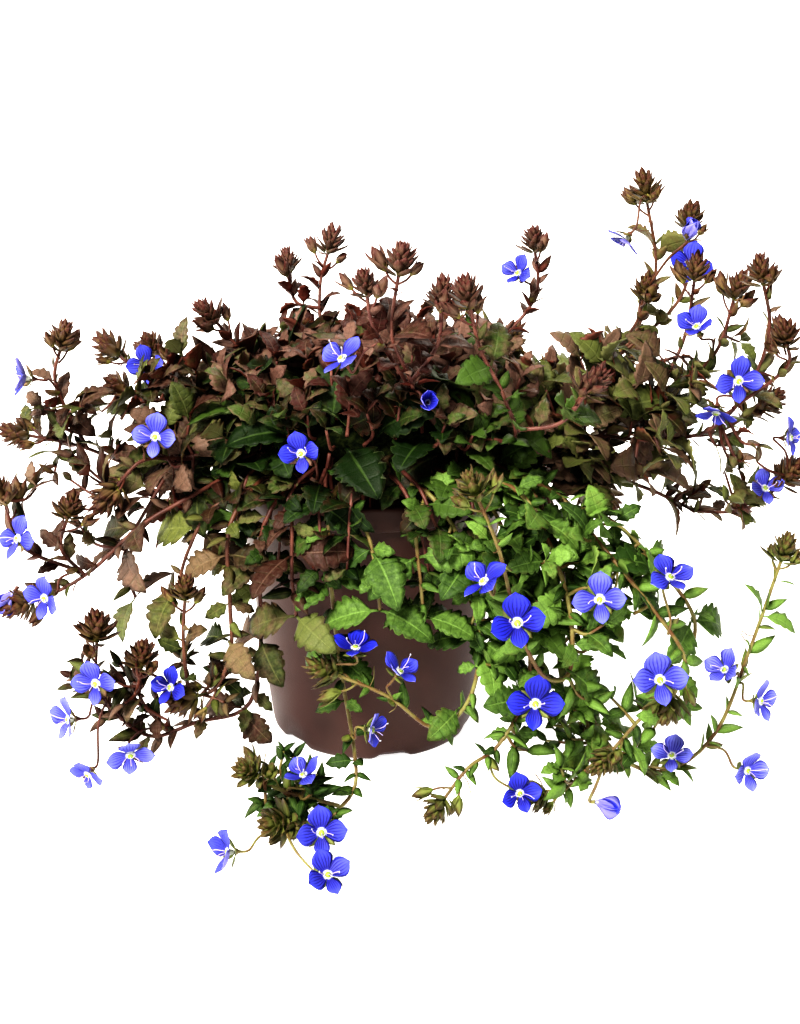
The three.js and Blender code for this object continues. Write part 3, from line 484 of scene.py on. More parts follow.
def trace_stem(points, side, spacing):
    """The curve through points, and joints at equal steps along it. Each joint has its place, the way that
    the stem runs there, two sides that are kept from twisting, and the place where its leaves start."""
    fine = curve_points(points)
    steps = step_lengths(fine)
    far = np.concatenate([[0], np.cumsum(steps)])
    count = max(2, math.floor(far[-1] / spacing + 0.5))
    s = far[-1] * np.arange(count + 1) / count
    i = np.clip(np.searchsorted(far, s), 1, SAMPLES)
    share = ((s - far[i - 1]) / steps[i - 1])[:, None]
    p = fine[i - 1] + share * (fine[i] - fine[i - 1])
    t = unit(fine[i] - fine[i - 1])
    node = p + PAST_RING * (np.vstack([p[1:], p[-1:]]) - p)
    joints = []
    u = side
    for k in range(count + 1):
        u = unit(u - t[k] * (u @ t[k]))
        joints.append(Joint(p[k], t[k], u, np.cross(t[k], u), node[k]))
    return fine, joints


def nearest(joints, point):
    """The joint that is the least far from a point."""
    return min(joints, key=lambda joint: np.linalg.norm(joint.p - point))


def joint_at(p, t, u):
    """A joint whose second side is t x u, and whose leaves start at its own place."""
    return Joint(p, t, u, np.cross(t, u), p)


def trace_shoot(shoot):
    """The stems of a shoot. Each starts at the soil or at the nearest joint of the stems before it."""
    before, stems = [], []
    for leaf, *path in shoot.stems:
        points = [np.array(p, float) for p in path]
        if stems:
            points[0] = nearest(before, points[0]).node
        else:
            points = [np.array([*shoot.root, high]) for high in (COLLAR, COLLAR + COLLAR_RISE)] + points
        away = points[-1] - points[0]
        spacing = LEAF_SPACING if SHORT_LEAF < leaf <= MOST_BUDDED else SHORT_SPACING
        fine, joints = trace_stem(points, unit([-away[1], away[0], LEVEL]), spacing)
        before += joints
        head = 0 if leaf > MOST_BUDDED else HEAD_SIZE * (1 if leaf > SHORT_LEAF else SMALL_HEAD)
        if stems:
            stems.append(Stem(fine, joints, leaf, head, 1, BRANCH_RADIUS))
        else:
            foot = np.array([*shoot.root, FOOT])
            joints = [joints[0]._replace(p=foot)] + joints
            stems.append(Stem(np.vstack([foot, fine]), joints, leaf, head, 2, STEM_RADIUS))
    return stems


def place_leaf(joint, lean, turn, lift, roll, length, face=None):
    """How a leaf is turned. It starts out square to its stem at the angle turn, is laid towards the plane
    that faces up and outwards, or towards face, leans towards the stem's tip, and is lifted, and rolled
    about its rib."""
    if face is None:
        face = unit([joint.node[0] / OVERHANG, joint.node[1] / OVERHANG, 1])
    along = spoke(joint.u, joint.v, turn)
    along = unit(along - LEAF_FLATNESS * face * (along @ face))
    along = unit(along + lean * joint.t)
    along = unit(along + math.tan(math.radians(lift)) * face)
    up = unit(face - along * (face @ along))
    return Place(joint.node, along, turned(up, along, roll), length)


def loose_face(p, draw):
    """The way that a small leaf faces: up, a little outwards and towards the light, and turned by
    chance."""
    face = [p[0] / FACE_SPREAD, p[1] / FACE_SPREAD - FACE_LIGHT, 1]
    return unit(face + FACE_CHANCE * draw.normal(size=3))


def leaf_in_solid(tree, joint, lean, turn, length, draw):
    """The way of standing that the solid has for a leaf: the one of TRIES whose outline lies on the
    solid's own points. None if the solid has no leaf there."""
    lift, roll = between(LIFT_RANGE, draw), between(ROLL_RANGE, draw)
    best, found = None, FEWEST_HITS
    for aside, higher, share in TRIES:
        place = place_leaf(joint, lean, turn + aside, lift + higher, roll, length * share)
        half = BROAD_LEAF if place.length >= LONG_LEAF else SMALL_LEAF
        outline = [(a, side * c, r) for a, c, r in half for side in (-1, 1)] + [(1, 0, -LEAF_TIP_DROP)]
        across = np.cross(place.up, place.along)
        ways = [a * place.along + c * across + r * place.up for a, c, r in outline]
        hits = sum(tree.find(place.root + place.length * way)[2] < HIT for way in ways)
        if hits > found:
            best, found = place, hits
    return best


def in_core(p):
    """Whether a point is in the core or close to it: the squares of its shares of the core's radii add up
    to less than CORE_REACH."""
    return (((p - CORE_MIDDLE) / CORE_RADII) ** 2).sum() < CORE_REACH


def core_joints(count, lowest, seat):
    """Joints on the core in a spiral of even steps, from its top down to the height that lowest gives."""
    joints = []
    for i in range(count):
        height = 1 - ((1 - lowest) * (i + 0.5)) / count
        turn = math.radians(GOLDEN_TURN * i)
        width = math.sqrt(1 - height * height)
        out = np.array([width * math.cos(turn), width * math.sin(turn), height])
        u = np.array([-math.sin(turn), math.cos(turn), 0])
        joints.append(joint_at(out * seat * CORE_RADII + CORE_MIDDLE, unit(out / CORE_RADII), u))
    return joints


def bloom_frame(face):
    """The way that a bloom faces, the way up across it, and the way to its left as it is looked at."""
    n = unit(face)
    up = np.array([0, 0, 1.0]) if abs(n[2]) < 0.98 else np.array([0, 1.0, 0])
    up = unit(up - n * (up @ n))
    return n, up, np.cross(n, up)


class Piece:
    """Gathers surfaces, and makes them one object. Points are in millimetres. bronze and shade mark each
    point with how bronze and how light its leaf is; on leaves and buds the lightness holds painted shade
    and light as well as their own tone."""

    def __init__(self, name):
        self.name = name
        self.points, self.faces, self.uv, self.finish, self.marks = ([] for _ in range(5))
        self.count = 0

    def add(self, points, faces, uv, finish=0, bronze=0.5, shade=0.5):
        """points is (V, 3), and faces a list of whole-number tables that each hold faces of one size, with
        their uv as a like list of (faces, corners, 2). finish is the number of their material."""
        for table, places in zip(faces, uv):
            self.faces.append(table + self.count)
            self.uv.append(np.broadcast_to(places, table.shape + (2,)))
            self.finish.append(np.full(len(table), finish))
        marks = np.empty((len(points), 2))
        marks[:, 0] = bronze
        marks[:, 1] = shade
        self.marks.append(marks)
        self.points.append(points)
        self.count += len(points)

    def make(self, materials, node):
        """Makes one mesh of all that is gathered. It takes the place of the solid called node."""
        mesh = bpy.data.meshes.new(self.name)
        points = np.concatenate(self.points) * MM
        mesh.vertices.add(len(points))
        mesh.vertices.foreach_set("co", points.astype(np.float32).ravel())
        corners = np.concatenate([table.ravel() for table in self.faces])
        sizes = np.concatenate([np.full(len(table), table.shape[1]) for table in self.faces])
        mesh.loops.add(len(corners))
        mesh.loops.foreach_set("vertex_index", corners.astype(np.int32))
        mesh.polygons.add(len(sizes))
        starts = np.concatenate([[0], np.cumsum(sizes)[:-1]])
        mesh.polygons.foreach_set("loop_start", starts.astype(np.int32))
        mesh.polygons.foreach_set("material_index", np.concatenate(self.finish).astype(np.int32))
        mesh.polygons.foreach_set("use_smooth", np.ones(len(sizes), bool))
        uv = np.concatenate([places.reshape(-1, 2) for places in self.uv])
        mesh.uv_layers.new(name="Surface").data.foreach_set("uv", uv.astype(np.float32).ravel())
        marks = np.concatenate(self.marks).astype(np.float32)
        for column, name in enumerate(("bronze", "shade")):
            mesh.attributes.new(name, "FLOAT", "POINT").data.foreach_set("value", marks[:, column].copy())
        mesh.update(calc_edges=True)
        for material in materials:
            mesh.materials.append(material)
        piece = bpy.data.objects.new(self.name, mesh)
        bpy.context.scene.collection.objects.link(piece)
        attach(piece, "root")
        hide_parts(node)


def corners(grid):
    """What a grid holds at the four corners of each of its faces."""
    around = [grid[:-1, :-1], grid[1:, :-1], grid[1:, 1:], grid[:-1, 1:]]
    return np.stack(around, 2).reshape(-1, 4, *grid.shape[2:])


def copied(faces, count, step):
    """The faces of count like bodies, whose points come step after step."""
    return (faces + step * np.arange(count)[:, None, None]).reshape(-1, faces.shape[1])


def lengths(places):
    """The length of each leaf."""
    return np.array([p.length for p in places])


def is_above(place, height):
    """Whether both ends of a leaf are above a height. Where a stem stands upright from end to end, its
    leaves have no sides and aren't above anything."""
    return place.root[2] > height and place.root[2] + place.length * place.along[2] > height


def middles(places):
    """The point halfway along each leaf."""
    return np.array([p.root + 0.5 * p.length * p.along for p in places])


def blades(piece, places, shape, thickness, finish=0, bronze=0.5, shade=0.5, cup=0.0, curl=0.0, twist=0.0):
    """Closed thin blades, all of one shape. A point at (row, column) of the shape lies along the rib by
    its first share, across by its second and up by its third, each times the blade's length. cup lifts the
    sides by the square of the way across, curl lifts the tip by the square of the way along, and twist
    turns the blade about its rib towards the tip. The two faces lie half the thickness to each side, and
    meet along the border."""
    if not places:
        return
    count = len(places)
    root, along, up = (
        np.array([getattr(p, key) for p in places])[:, None, None] for key in ("root", "along", "up")
    )
    size = lengths(places)[:, None, None, None]
    across = np.cross(up, along)
    a, c, h = (grid[None, :, :, None] for grid in shape[:3])
    cup, curl, twist = (np.broadcast_to(x, count).reshape(-1, 1, 1, 1) for x in (cup, curl, twist))
    rise = h + cup * c ** 2 + curl * a ** 2 + twist * a * c
    middle = root + size * (a * along + c * across + rise * up)
    rows, cols = shape.along.shape
    inside = np.zeros((rows, cols))
    inside[1:-1, 1:-1] = thickness / 2
    top = middle + inside[None, :, :, None] * up
    low = middle[:, 1:-1, 1:-1] - thickness / 2 * up
    points = np.concatenate([top.reshape(count, -1, 3), low.reshape(count, -1, 3)], 1)
    per = points.shape[1]
    over = np.arange(rows * cols).reshape(rows, cols)
    under = over.copy()
    under[1:-1, 1:-1] = np.arange(rows * cols, per).reshape(rows - 2, cols - 2)
    faces = np.concatenate([corners(over), corners(under)[:, ::-1]])
    uv = corners(shape.uv)
    uv = np.concatenate([uv, (uv + (2, 0))[:, ::-1]])
    marks = [np.repeat(np.broadcast_to(x, count), per) for x in (bronze, shade)]
    faces, uv = copied(faces, count, per), np.tile(uv, (count, 1, 1))
    piece.add(points.reshape(-1, 3), [faces], [uv], finish, *marks)


def blade_shape(along, across, up, b, v):
    """The grids of a blade. b runs across from -1 to 1 and v runs along, for the surface's two shares."""
    uv = np.stack(np.broadcast_arrays(b * 0.5 + 0.5, v), -1)
    return Blade(*np.broadcast_arrays(along, across, up), uv)


def leaf_shape(teeth, beats, width, depth):
    """A toothed leaf. Its half width is the sine of half a turn along the blade, drawn towards the root.
    Each tooth has a row of points at each of its beats: it widens from a notch to its blunt tip. Rows
    slant forwards from the rib, as side veins do, and the blade is pressed in along the veins."""
    v = np.array([j + f for j in range(teeth) for f in beats])
    part = np.tile(beats, teeth)
    blade = v / (teeth + 0.3)
    full = width * np.sin(np.pi * blade ** 0.62) ** 0.62
    start = np.minimum(1, 4 * blade)
    tooth = 1 - start * depth * (1 - np.sin(np.pi * part ** 1.4) ** 0.45)
    stalk, stalk_half, tip_half = 0.14, [0.03, 0.028, 0.035], [0.02]
    rib = np.concatenate([[0, stalk * 0.6, stalk], stalk + (1 - stalk) * blade, [1]])[:, None]
    inner = np.concatenate([stalk_half, full, tip_half])[:, None]
    outer = np.concatenate([stalk_half, full * tooth, tip_half])[:, None]
    vein = np.concatenate([[0, 0, 0], -np.cos(2 * np.pi * (part + 0.1)), [0]])[:, None]
    v = np.concatenate([[-1, -0.6, -0.2], v, [teeth + 0.2]])[:, None]
    b = np.linspace(-1, 1, 5)
    edge = np.abs(b) == 1
    across = b * np.where(edge, outer, inner)
    slant = 0.5 * np.abs(across) * (1 - rib)
    relief = 0.01 * vein * (b != 0) * ~edge
    up = 0.36 * rib - 0.46 * rib ** 2 + relief + 0.16 * np.abs(across)
    return blade_shape(rib + slant, across, up, b, v)


def plain_shape(width, rows=6, peak=0.8, blunt=1.0, bend=0.0):
    """A blade without teeth, such as a bract: its half width is the sine of half a turn along it. peak
    draws the widest part towards the root, blunt below 1 rounds the ends, and bend bows it like an
    arch."""
    a = np.linspace(0, 1, rows)[:, None]
    b = np.linspace(-1, 1, 3)
    half = width * (np.abs(np.sin(np.pi * a ** peak)) ** blunt + 0.25 * (1 - a) ** 2) + 0.012
    return blade_shape(a, half * b, bend * a * (1 - a), b, a)


def petal_shape(half):
    """A petal: it widens from a narrow claw by a quarter turn of the sine, is widest past its middle, and
    narrows to a blunt point. A slow wave along and across ruffles it."""
    a = np.array([0, 0.1, 0.24, 0.4, 0.56, 0.7, 0.82, 0.91, 0.97, 1])[:, None]
    b = np.linspace(-1, 1, 7)
    low = 0.17 + 0.83 * np.sin(np.pi / 2 * np.minimum(1, a / 0.62)) ** 1.25
    high = np.maximum(0, 1 - (np.maximum(0, a - 0.56) / 0.443) ** 1.9) ** 0.68
    ruffle = 0.014 * np.sin(6 * b + 5 * a) * a
    up = 0.14 * a ** 1.4 + 0.05 * (b ** 2) * a + ruffle
    return blade_shape(a - 0.05 * b ** 2 * a ** 3, half * low * high * b, up, b, a)


def add_rings(piece, rings, finish=0, bronze=0.5, shade=0.5, along=None):
    """Adds a closed surface: four-sided faces between rings of points, (rows, sides, 3), and a flat face
    at each end. u runs round, and v is along, a number for each ring, which goes from 0 to 1 if it isn't
    given."""
    rows, sides = rings.shape[:2]
    numbers = np.arange(rows * sides).reshape(rows, sides)
    along = np.arange(rows) / (rows - 1) if along is None else along
    round_it = np.meshgrid(np.arange(sides + 1) / sides, along)
    grids = np.hstack([numbers, numbers[:, :1]]), np.stack(round_it, -1)
    faces, uv = (corners(grid)[:, [0, 3, 2, 1]] for grid in grids)
    ends = np.array([numbers[0, ::-1], numbers[-1]])
    piece.add(rings.reshape(-1, 3), [faces, ends], [uv, np.zeros(2)], finish, bronze, shade)


def tube(piece, path, radius, sides, finish=0):
    """A closed tube: at each point of the path a ring of even points lies square to the path. The ring's
    first side is square to the path and to the way in which the path spreads least, so that it doesn't
    twist."""
    way = unit(np.gradient(path, axis=0))
    flat = np.linalg.svd(path - path.mean(0))[2][-1]
    side = unit(np.cross(way, flat) + 1e-6)
    angle = np.linspace(0, 2 * np.pi, sides, endpoint=False)[None, :, None]
    ring = side[:, None] * np.cos(angle) + np.cross(way, side)[:, None] * np.sin(angle)
    rings = path[:, None] + ring * np.broadcast_to(radius, len(path))[:, None, None]
    add_rings(piece, rings, finish, along=np.concatenate([[0], np.cumsum(step_lengths(path))]))


def add_twig(piece, points, steps, thick, thin, sides, finish=0):
    """A thin stem through points, from the radius thick to the radius thin. Gives its path."""
    path = curve_points(points, steps)
    tube(piece, path, np.linspace(thick, thin, steps + 1), sides, finish)
    return path


def hairs(piece, path, radius, count, length, draw):
    """Short hairs on a stem: three-sided spikes of its second material, which start at random places of
    its skin and lean forwards."""
    at = draw.uniform(0, len(path) - 1.001, count)
    i = at.astype(int)
    along = unit(path[i + 1] - path[i])
    side = unit(np.cross(along, unit(draw.normal(size=(count, 3)))))
    start = path[i] + (at - i)[:, None] * (path[i + 1] - path[i]) + side * radius[i][:, None] * 0.9
    lean = unit(side + 0.35 * along + 0.25 * draw.normal(size=(count, 3)))
    reach = length * draw.uniform(0.6, 1.3, count)[:, None]
    over = np.cross(lean, along)
    foot = [start + 0.035 * (math.cos(w) * over + math.sin(w) * along) for w in (0, 2.1, 4.2)]
    points = np.stack(foot + [start + lean * reach], 1).reshape(-1, 3)
    faces = np.array([[0, 1, 3], [1, 2, 3], [2, 0, 3], [2, 1, 0]])
    piece.add(points, [copied(faces, count, 4)], [np.zeros(2)], 1)


def lathe(profile, sides):
    """A turned surface about Z, from a profile of radii and heights: the rings of its points, for
    add_rings."""
    profile = np.array(profile, float)
    angle = np.linspace(0, 2 * np.pi, sides, endpoint=False)
    r, z = profile[:, :1], profile[:, 1:]
    return np.stack([r * np.cos(angle), r * np.sin(angle), z + 0 * angle], -1)


def placed(points, middle, axis, size=1.0):
    """points about Z, stood on middle with Z along axis."""
    axis = unit(axis)
    side = unit(np.cross(axis, [0.31, 0.95, 0.07]))
    over = np.cross(axis, side)
    return middle + size * (points[..., :1] * side + points[..., 1:2] * over + points[..., 2:] * axis)


class Value:
    """A number or a vector in a material: what a node gives. Sums of values are maths nodes."""

    def __init__(self, shade, socket):
        self.shade = shade
        self.socket = socket

    def __add__(self, other):
        return self.shade.maths("ADD", self, other)

    __radd__ = __add__

    def __sub__(self, other):
        return self.shade.maths("SUBTRACT", self, other)

    def __rsub__(self, other):
        return self.shade.maths("SUBTRACT", other, self)

    def __mul__(self, other):
        return self.shade.maths("MULTIPLY", self, other)

    __rmul__ = __mul__

    def __abs__(self):
        return self.shade.maths("ABSOLUTE", self)


class Shade:
    """A material while it is made."""

    def __init__(self, name):
        self.material = bpy.data.materials.new(name)
        self.material.use_nodes = True
        self.tree = self.material.node_tree
        self.tree.nodes.clear()

    def node(self, kind, settings, inputs, out=0):
        """Adds a node, sets its settings, and then gives its sockets values or links. out is what it
        gives."""
        node = self.tree.nodes.new(kind)
        for key, value in settings.items():
            setattr(node, key, value)
        for key, value in inputs.items():
            if isinstance(value, Value):
                self.tree.links.new(value.socket, node.inputs[key])
            else:
                node.inputs[key].default_value = value
        return Value(self, node.outputs[out])

    def maths(self, operation, *values):
        """Adds a maths node."""
        return self.node("ShaderNodeMath", {"operation": operation}, dict(enumerate(values)))

    def mix(self, share, a, b):
        """Colour a where share is 0 and b where it is 1."""
        a, b = (c if isinstance(c, Value) else (*c, 1) for c in (a, b))
        return self.node("ShaderNodeMix", {"data_type": "RGBA"}, {0: share, 6: a, 7: b}, 2)

    def step(self, value, low, high):
        """0 below low, 1 above high, and smooth between them."""
        inputs = {"Value": value, "From Min": low, "From Max": high}
        return self.node("ShaderNodeMapRange", {"interpolation_type": "SMOOTHSTEP"}, inputs)

    def place(self):
        """The place on the object, in metres."""
        return self.node("ShaderNodeTexCoord", {}, {}, "Object")

    def surface(self):
        """The two shares of the piece's own surface, 1 on the underside of a blade and 0 elsewhere, and
        how far it is from the rib, from 0 to 1."""
        uv = self.node("ShaderNodeUVMap", {"uv_map": "Surface"}, {})
        split = self.node("ShaderNodeSeparateXYZ", {}, {"Vector": uv}).socket.node
        u, v = (Value(self, split.outputs[i]) for i in (0, 1))
        under = self.step(u, 1.4, 1.6)
        return u, v, under, abs(2 * u - 1 - 4 * under)

    def mark(self, name):
        """A mark that the piece's points carry."""
        return self.node("ShaderNodeAttribute", {"attribute_name": name}, {}, "Fac")

    def noise(self, size, detail=2.0):
        """Noise from 0 to 1 whose patches are about size millimetres."""
        inputs = {"Vector": self.place(), "Scale": 1 / (size * MM), "Detail": detail}
        return self.node("ShaderNodeTexNoise", {}, inputs)

    def finish(self, colour, roughness, height=None, depth=0.1, gloss=0.5, **others):
        """Ends the material. height from 0 to 1 is a relief of depth millimetres, and gloss is the
        specular level."""
        colour = colour if isinstance(colour, Value) else (*colour, 1)
        inputs = {"Base Color": colour, "Roughness": roughness, "Specular IOR Level": gloss}
        inputs.update({key.replace("_", " "): value for key, value in others.items()})
        if height is not None:
            relief = {"Height": height, "Distance": depth * MM, "Strength": 1.0}
            inputs["Normal"] = self.node("ShaderNodeBump", {}, relief)
        skin = self.node("ShaderNodeBsdfPrincipled", {}, inputs)
        output = self.tree.nodes.new("ShaderNodeOutputMaterial")
        self.tree.links.new(skin.socket, output.inputs["Surface"])
        return self.material


def leaf_material(tone):
    """Green to bronze by the leaf's own mark and in patches, with the rim more bronze, and dark to light
    by the shade mark, which holds painted shade and light as well as the leaf's own tone. The rib is paler
    and the margin paler still, as a painted highlight. The side veins are sunk, a fine net lies between
    them, and both are painted darker, as shade in their grooves."""
    dark_green, green, dark_bronze, bronze, under_green, under_bronze = PALETTES[tone]
    s = Shade("leaf " + tone)
    _, v, under, across = s.surface()
    rib = 1 - s.step(across, 0.02, 0.08)
    beat = s.maths("FRACT", v + 0.6)
    side = (1 - s.step(abs(beat - 0.5), 0.0, 0.12)) * (1 - s.step(across, 0.6, 0.95))
    vein = s.maths("MAXIMUM", rib, 0.8 * side)
    cells = {"Vector": s.place(), "Scale": 1500.0}
    net = s.step(s.node("ShaderNodeTexVoronoi", {"feature": "DISTANCE_TO_EDGE"}, cells), 0.0, 0.14)
    patch = s.noise(2.5, 3.0)
    rim = s.step(across, 0.6, 1.0)
    share = s.step(s.mark("bronze") + 0.9 * (patch - 0.5) + 0.15 * rim, 0.15, 0.85)
    # The shade mark holds each leaf's own tone and painted shade and light; it mixes the dark and light
    # colours
    light = s.step(s.mark("shade") + 0.9 * (s.noise(1.1, 3.0) - 0.5), 0.0, 1.0)
    colour = s.mix(share, s.mix(light, dark_green, green), s.mix(light, dark_bronze, bronze))
    # A paler colour for the rib, and for the painted highlight along the margin
    pale_rib_and_highlight = s.mix(share, [1.5 * x + 0.01 for x in green], [1.3 * x for x in bronze])
    # Painted shade in the sunk side veins
    colour = s.mix(0.25 * side, colour, dark_green)
    colour = s.mix(0.35 * rib, colour, pale_rib_and_highlight)
    # Painted shade in the grooves of the fine net
    colour = s.mix(0.2 * (1 - net), colour, dark_green)
    # Painted highlight: the margin is paler, as if lit from behind
    colour = s.mix(0.35 * s.step(across, 0.86, 1.0), colour, pale_rib_and_highlight)
    colour = s.mix(0.75 * under, colour, s.mix(share, under_green, under_bronze))
    height = net * 0.35 + (1 - vein)
    return s.finish(colour, 0.4 + 0.24 * patch, 0.6 * height, 0.16, 0.15)


def petal_material():
    """Violet blue with darker veins that run out along the petal, a round white eye at its claw, and a
    paler back. The flower's own mark makes it paler."""
    s = Shade("petal")
    u, v, under, across = s.surface()
    beat = s.maths("FRACT", PETAL_VEINS * u + 0.3 * s.noise(1.5))
    vein = (1 - s.step(abs(beat - 0.5), 0.04, 0.26)) * s.step(v, 0.14, 0.24) * (1 - s.step(v, 0.45, 1.0))
    pale = s.mark("shade")
    reach = v + 0.5 * (s.noise(1.5) - 0.5)
    full = s.mix(s.step(reach, 0.15, 0.95), (0.008, 0.008, 0.22), (0.022, 0.03, 0.5))
    faded = s.mix(s.step(reach, 0.2, 1.0), (0.06, 0.062, 0.4), (0.16, 0.175, 0.59))
    colour = s.mix(pale, full, faded)
    colour = s.mix(0.9 * vein, colour, s.mix(pale, (0.003, 0.001, 0.085), (0.022, 0.014, 0.21)))
    colour = s.mix(1 - s.step(v + 0.08 * across * across, 0.13, 0.19), colour, EYE_COLOUR)
    colour = s.mix(0.6 * under, colour, (0.25, 0.23, 0.6))
    return s.finish(colour, 0.55, 1 - vein, 0.06, 0.25)


def bud_material(tone):
    """Bracts and sepals: yellowish green at the root, duller past it, and dark wine red at the tip. A low
    shade mark, with noise, darkens them towards near black: painted shade on a head's lower bracts and
    middle, and chance differences in tone.
    """
    root, middle, tip = BUD_COLOURS[tone]
    s = Shade("bud " + tone)
    _, v, _, across = s.surface()
    rib = 1 - s.step(across, 0.05, 0.18)
    patch = s.noise(1.2, 3.0)
    reach = v + s.mark("bronze") - 0.5 + 0.15 * across + 0.5 * (patch - 0.5)
    colour = s.mix(s.step(reach, 0.05, 0.5), root, middle)
    colour = s.mix(s.step(reach, 0.55, 1.0), colour, tip)
    # Painted shade, with chance differences: a low shade mark darkens towards near black
    painted_shade = 0.65 * (1 - s.step(s.mark("shade") + 0.5 * (patch - 0.5), 0.0, 0.7))
    colour = s.mix(painted_shade, colour, (0.02, 0.011, 0.005))
    colour = s.mix(0.25 * rib, colour, [1.5 * x for x in middle])
    return s.finish(colour, 0.6, patch, 0.12, 0.25)


def patchy_material(name, patch, colours, spread, roughness, depth, gloss, grain=None):
    """Two colours in patches. patch is the size and detail of the noise that they follow, spread the part
    of it in which one turns into the other, and grain the noise of the relief, if it isn't the same."""
    s = Shade(name)
    cloud = s.noise(*patch)
    relief = s.noise(*grain) if grain else cloud
    return s.finish(s.mix(s.step(cloud, *spread), *colours), roughness, relief, depth, gloss)


def stem_material(tone):
    """Reddish brown, and greener in long patches."""
    return patchy_material(
        "stem " + tone, (4.0, 3.0), STEM_COLOURS[tone], (0.3, 0.7), 0.5, 0.1, 0.3, grain=(0.5, 2.0)
    )


def plain_material(name, colour, roughness, **others):
    """One colour, without a pattern."""
    return Shade(name).finish(colour, roughness, **others)


def pot_material():
    """Thin moulded plastic: even brown, faintly clouded, with a very fine grain."""
    s = Shade("pot plastic")
    grain = s.noise(0.35, 2.0)
    cloud = s.noise(14.0, 2.0)
    colour = s.mix(s.step(cloud, 0.3, 0.7), (0.038, 0.0155, 0.0122), (0.05, 0.02, 0.0162))
    return s.finish(colour, 0.36 + 0.12 * grain, grain, 0.05, 0.18)


def twig_places(path, size, pairs, draw, lean=0.5, narrow=False):
    """Opposite pairs of leaves along a twig, each pair a quarter turn from the last and smaller."""
    places = []
    turn = draw.uniform(0, 360)
    for k in range(pairs):
        i = max(1, round((k + 1) * (len(path) - 1) / pairs))
        t = unit(path[i] - path[i - 1])
        joint = joint_at(path[i], t, unit(np.cross(t, [0.3, 0.2, 0.93])))
        for mate in (0, 180):
            length = size * (1 - 0.5 * k / pairs) * draw.uniform(0.85, 1.15)
            lift, roll = draw.uniform(-5, 35) + 20 * k / pairs, draw.uniform(-22, 22)
            face = loose_face(joint.p, draw)
            place = place_leaf(joint, lean + 0.4 * k / pairs, turn + mate, lift, roll, length, face)
            places.append(place._replace(narrow=narrow))
        turn += PAIR_TURN + draw.uniform(-15, 15)
    return [place for place in places if is_above(place, LOWEST)]


def stem_joint(path, share, side):
    """A joint at a share of a fine path."""
    i = max(1, min(len(path) - 1, int(share * (len(path) - 1))))
    t = unit(path[i] - path[i - 1])
    return joint_at(path[i], t, unit(side - t * (side @ t)))


def cloud_twigs():
    """For each shoot, its side twigs as a path, the length of the leaves, and whether these are narrow. A
    twig ends at a random place in the cloud, and starts about TWIG_REACH away on the shoots' stems."""
    draw = np.random.default_rng(CLOUD_SEED)
    grown = {name: [] for name in SHOOTS}
    for names, middle, radii, count, sizes, narrow in CLOUDS:
        owners = [(name, stem.fine[8:]) for name in names for stem in TRACED[name]]
        numbers = np.concatenate([np.full(len(path), i) for i, (_, path) in enumerate(owners)])
        points = np.concatenate([path for _, path in owners])
        for _ in range(count):
            way = unit(draw.normal(size=3)) * draw.uniform(0, 1) ** 0.4
            target = np.array(middle) + way * radii
            far = np.linalg.norm(points - target, axis=1) + 1000 * (points[:, 2] < LOWEST_TWIG)
            i = int(np.argmin(np.abs(far - TWIG_REACH)))
            start = points[i]
            reach = target - start
            length = np.linalg.norm(reach)
            if length > LONGEST_TWIG:
                continue
            sag = np.array([0, 0, -0.12 * length])
            bend = start + reach * 0.5 + sag + 0.08 * length * draw.normal(size=3)
            path = curve_points([start, bend, target], 10)
            if path[:, 2].min() < LOWEST_TWIG:
                continue
            size = draw.uniform(*sizes)
            grown[owners[numbers[i]][0]].append((path, size, draw.uniform() < narrow))
    return grown


def head_places(p, t, size, draw):
    """The bracts of a head of buds, like the scales of a small cone: a spiral of even turns up its axis,
    from long open lower ones to short upright ones at the top. Also gives how far up it each one is, from
    0 to 1."""
    u = unit(np.cross(t, [0.41, 0.83, 0.37]))
    v = np.cross(t, u)
    places, shares = [], []
    for i in range(HEAD_BRACTS):
        share = i / (HEAD_BRACTS - 1)
        out = spoke(u, v, GOLDEN_TURN * i)
        along = spoke(t, out, max(4, 56 * (1 - share) ** 0.65 + draw.uniform(-8, 12)))
        up = unit(t - along * (t @ along))
        root = p + t * size * (-0.3 + 0.64 * share) + out * size * 0.08
        places.append(Place(root, along, up, size * (0.68 - 0.28 * share) * draw.uniform(0.8, 1.15)))
        shares.append(share)
    return places, np.array(shares)


def bud_places(p, t, size, draw):
    """A side bud: four sepals that close round it like a tulip, with their tips turned out."""
    u = unit(np.cross(t, [0.53, 0.37, 0.76]))
    v = np.cross(t, u)
    places = []
    for i in range(4):
        out = spoke(u, v, 90 * i + draw.uniform(-12, 12))
        along = spoke(t, out, draw.uniform(5, 16))
        places.append(Place(p - out * 0.1, along, unit(t * 0.2 - out), size * draw.uniform(0.85, 1.1)))
    return places


def ball(piece, middle, axis, radius, length, finish=0, bronze=0.5, shade=0.5, sides=10):
    """A closed long ball: rings of the sine of the way from pole to pole."""
    turn = np.linspace(0.06, math.pi - 0.06, 8)
    profile = np.stack([radius * np.sin(turn), -length / 2 * np.cos(turn)], -1)
    add_rings(piece, placed(lathe(profile, sides), middle, axis), finish, bronze, shade)


LEAF_MATERIALS = {tone: leaf_material(tone) for tone in PALETTES}
BUD_MATERIALS = {tone: bud_material(tone) for tone in PALETTES}
STEM_MATERIALS = {tone: stem_material(tone) for tone in PALETTES}
HAIR = plain_material("stem hair", (0.32, 0.2, 0.16), 0.5)
PETAL = petal_material()
EYE = plain_material("flower eye", (0.5, 0.53, 0.5), 0.6)
THROAT = plain_material("flower throat", (0.24, 0.33, 0.035), 0.6)
FILAMENT = plain_material("stamen", (0.4, 0.33, 0.62), 0.5)
ANTHER = plain_material("anther", (0.3, 0.3, 0.36), 0.6)

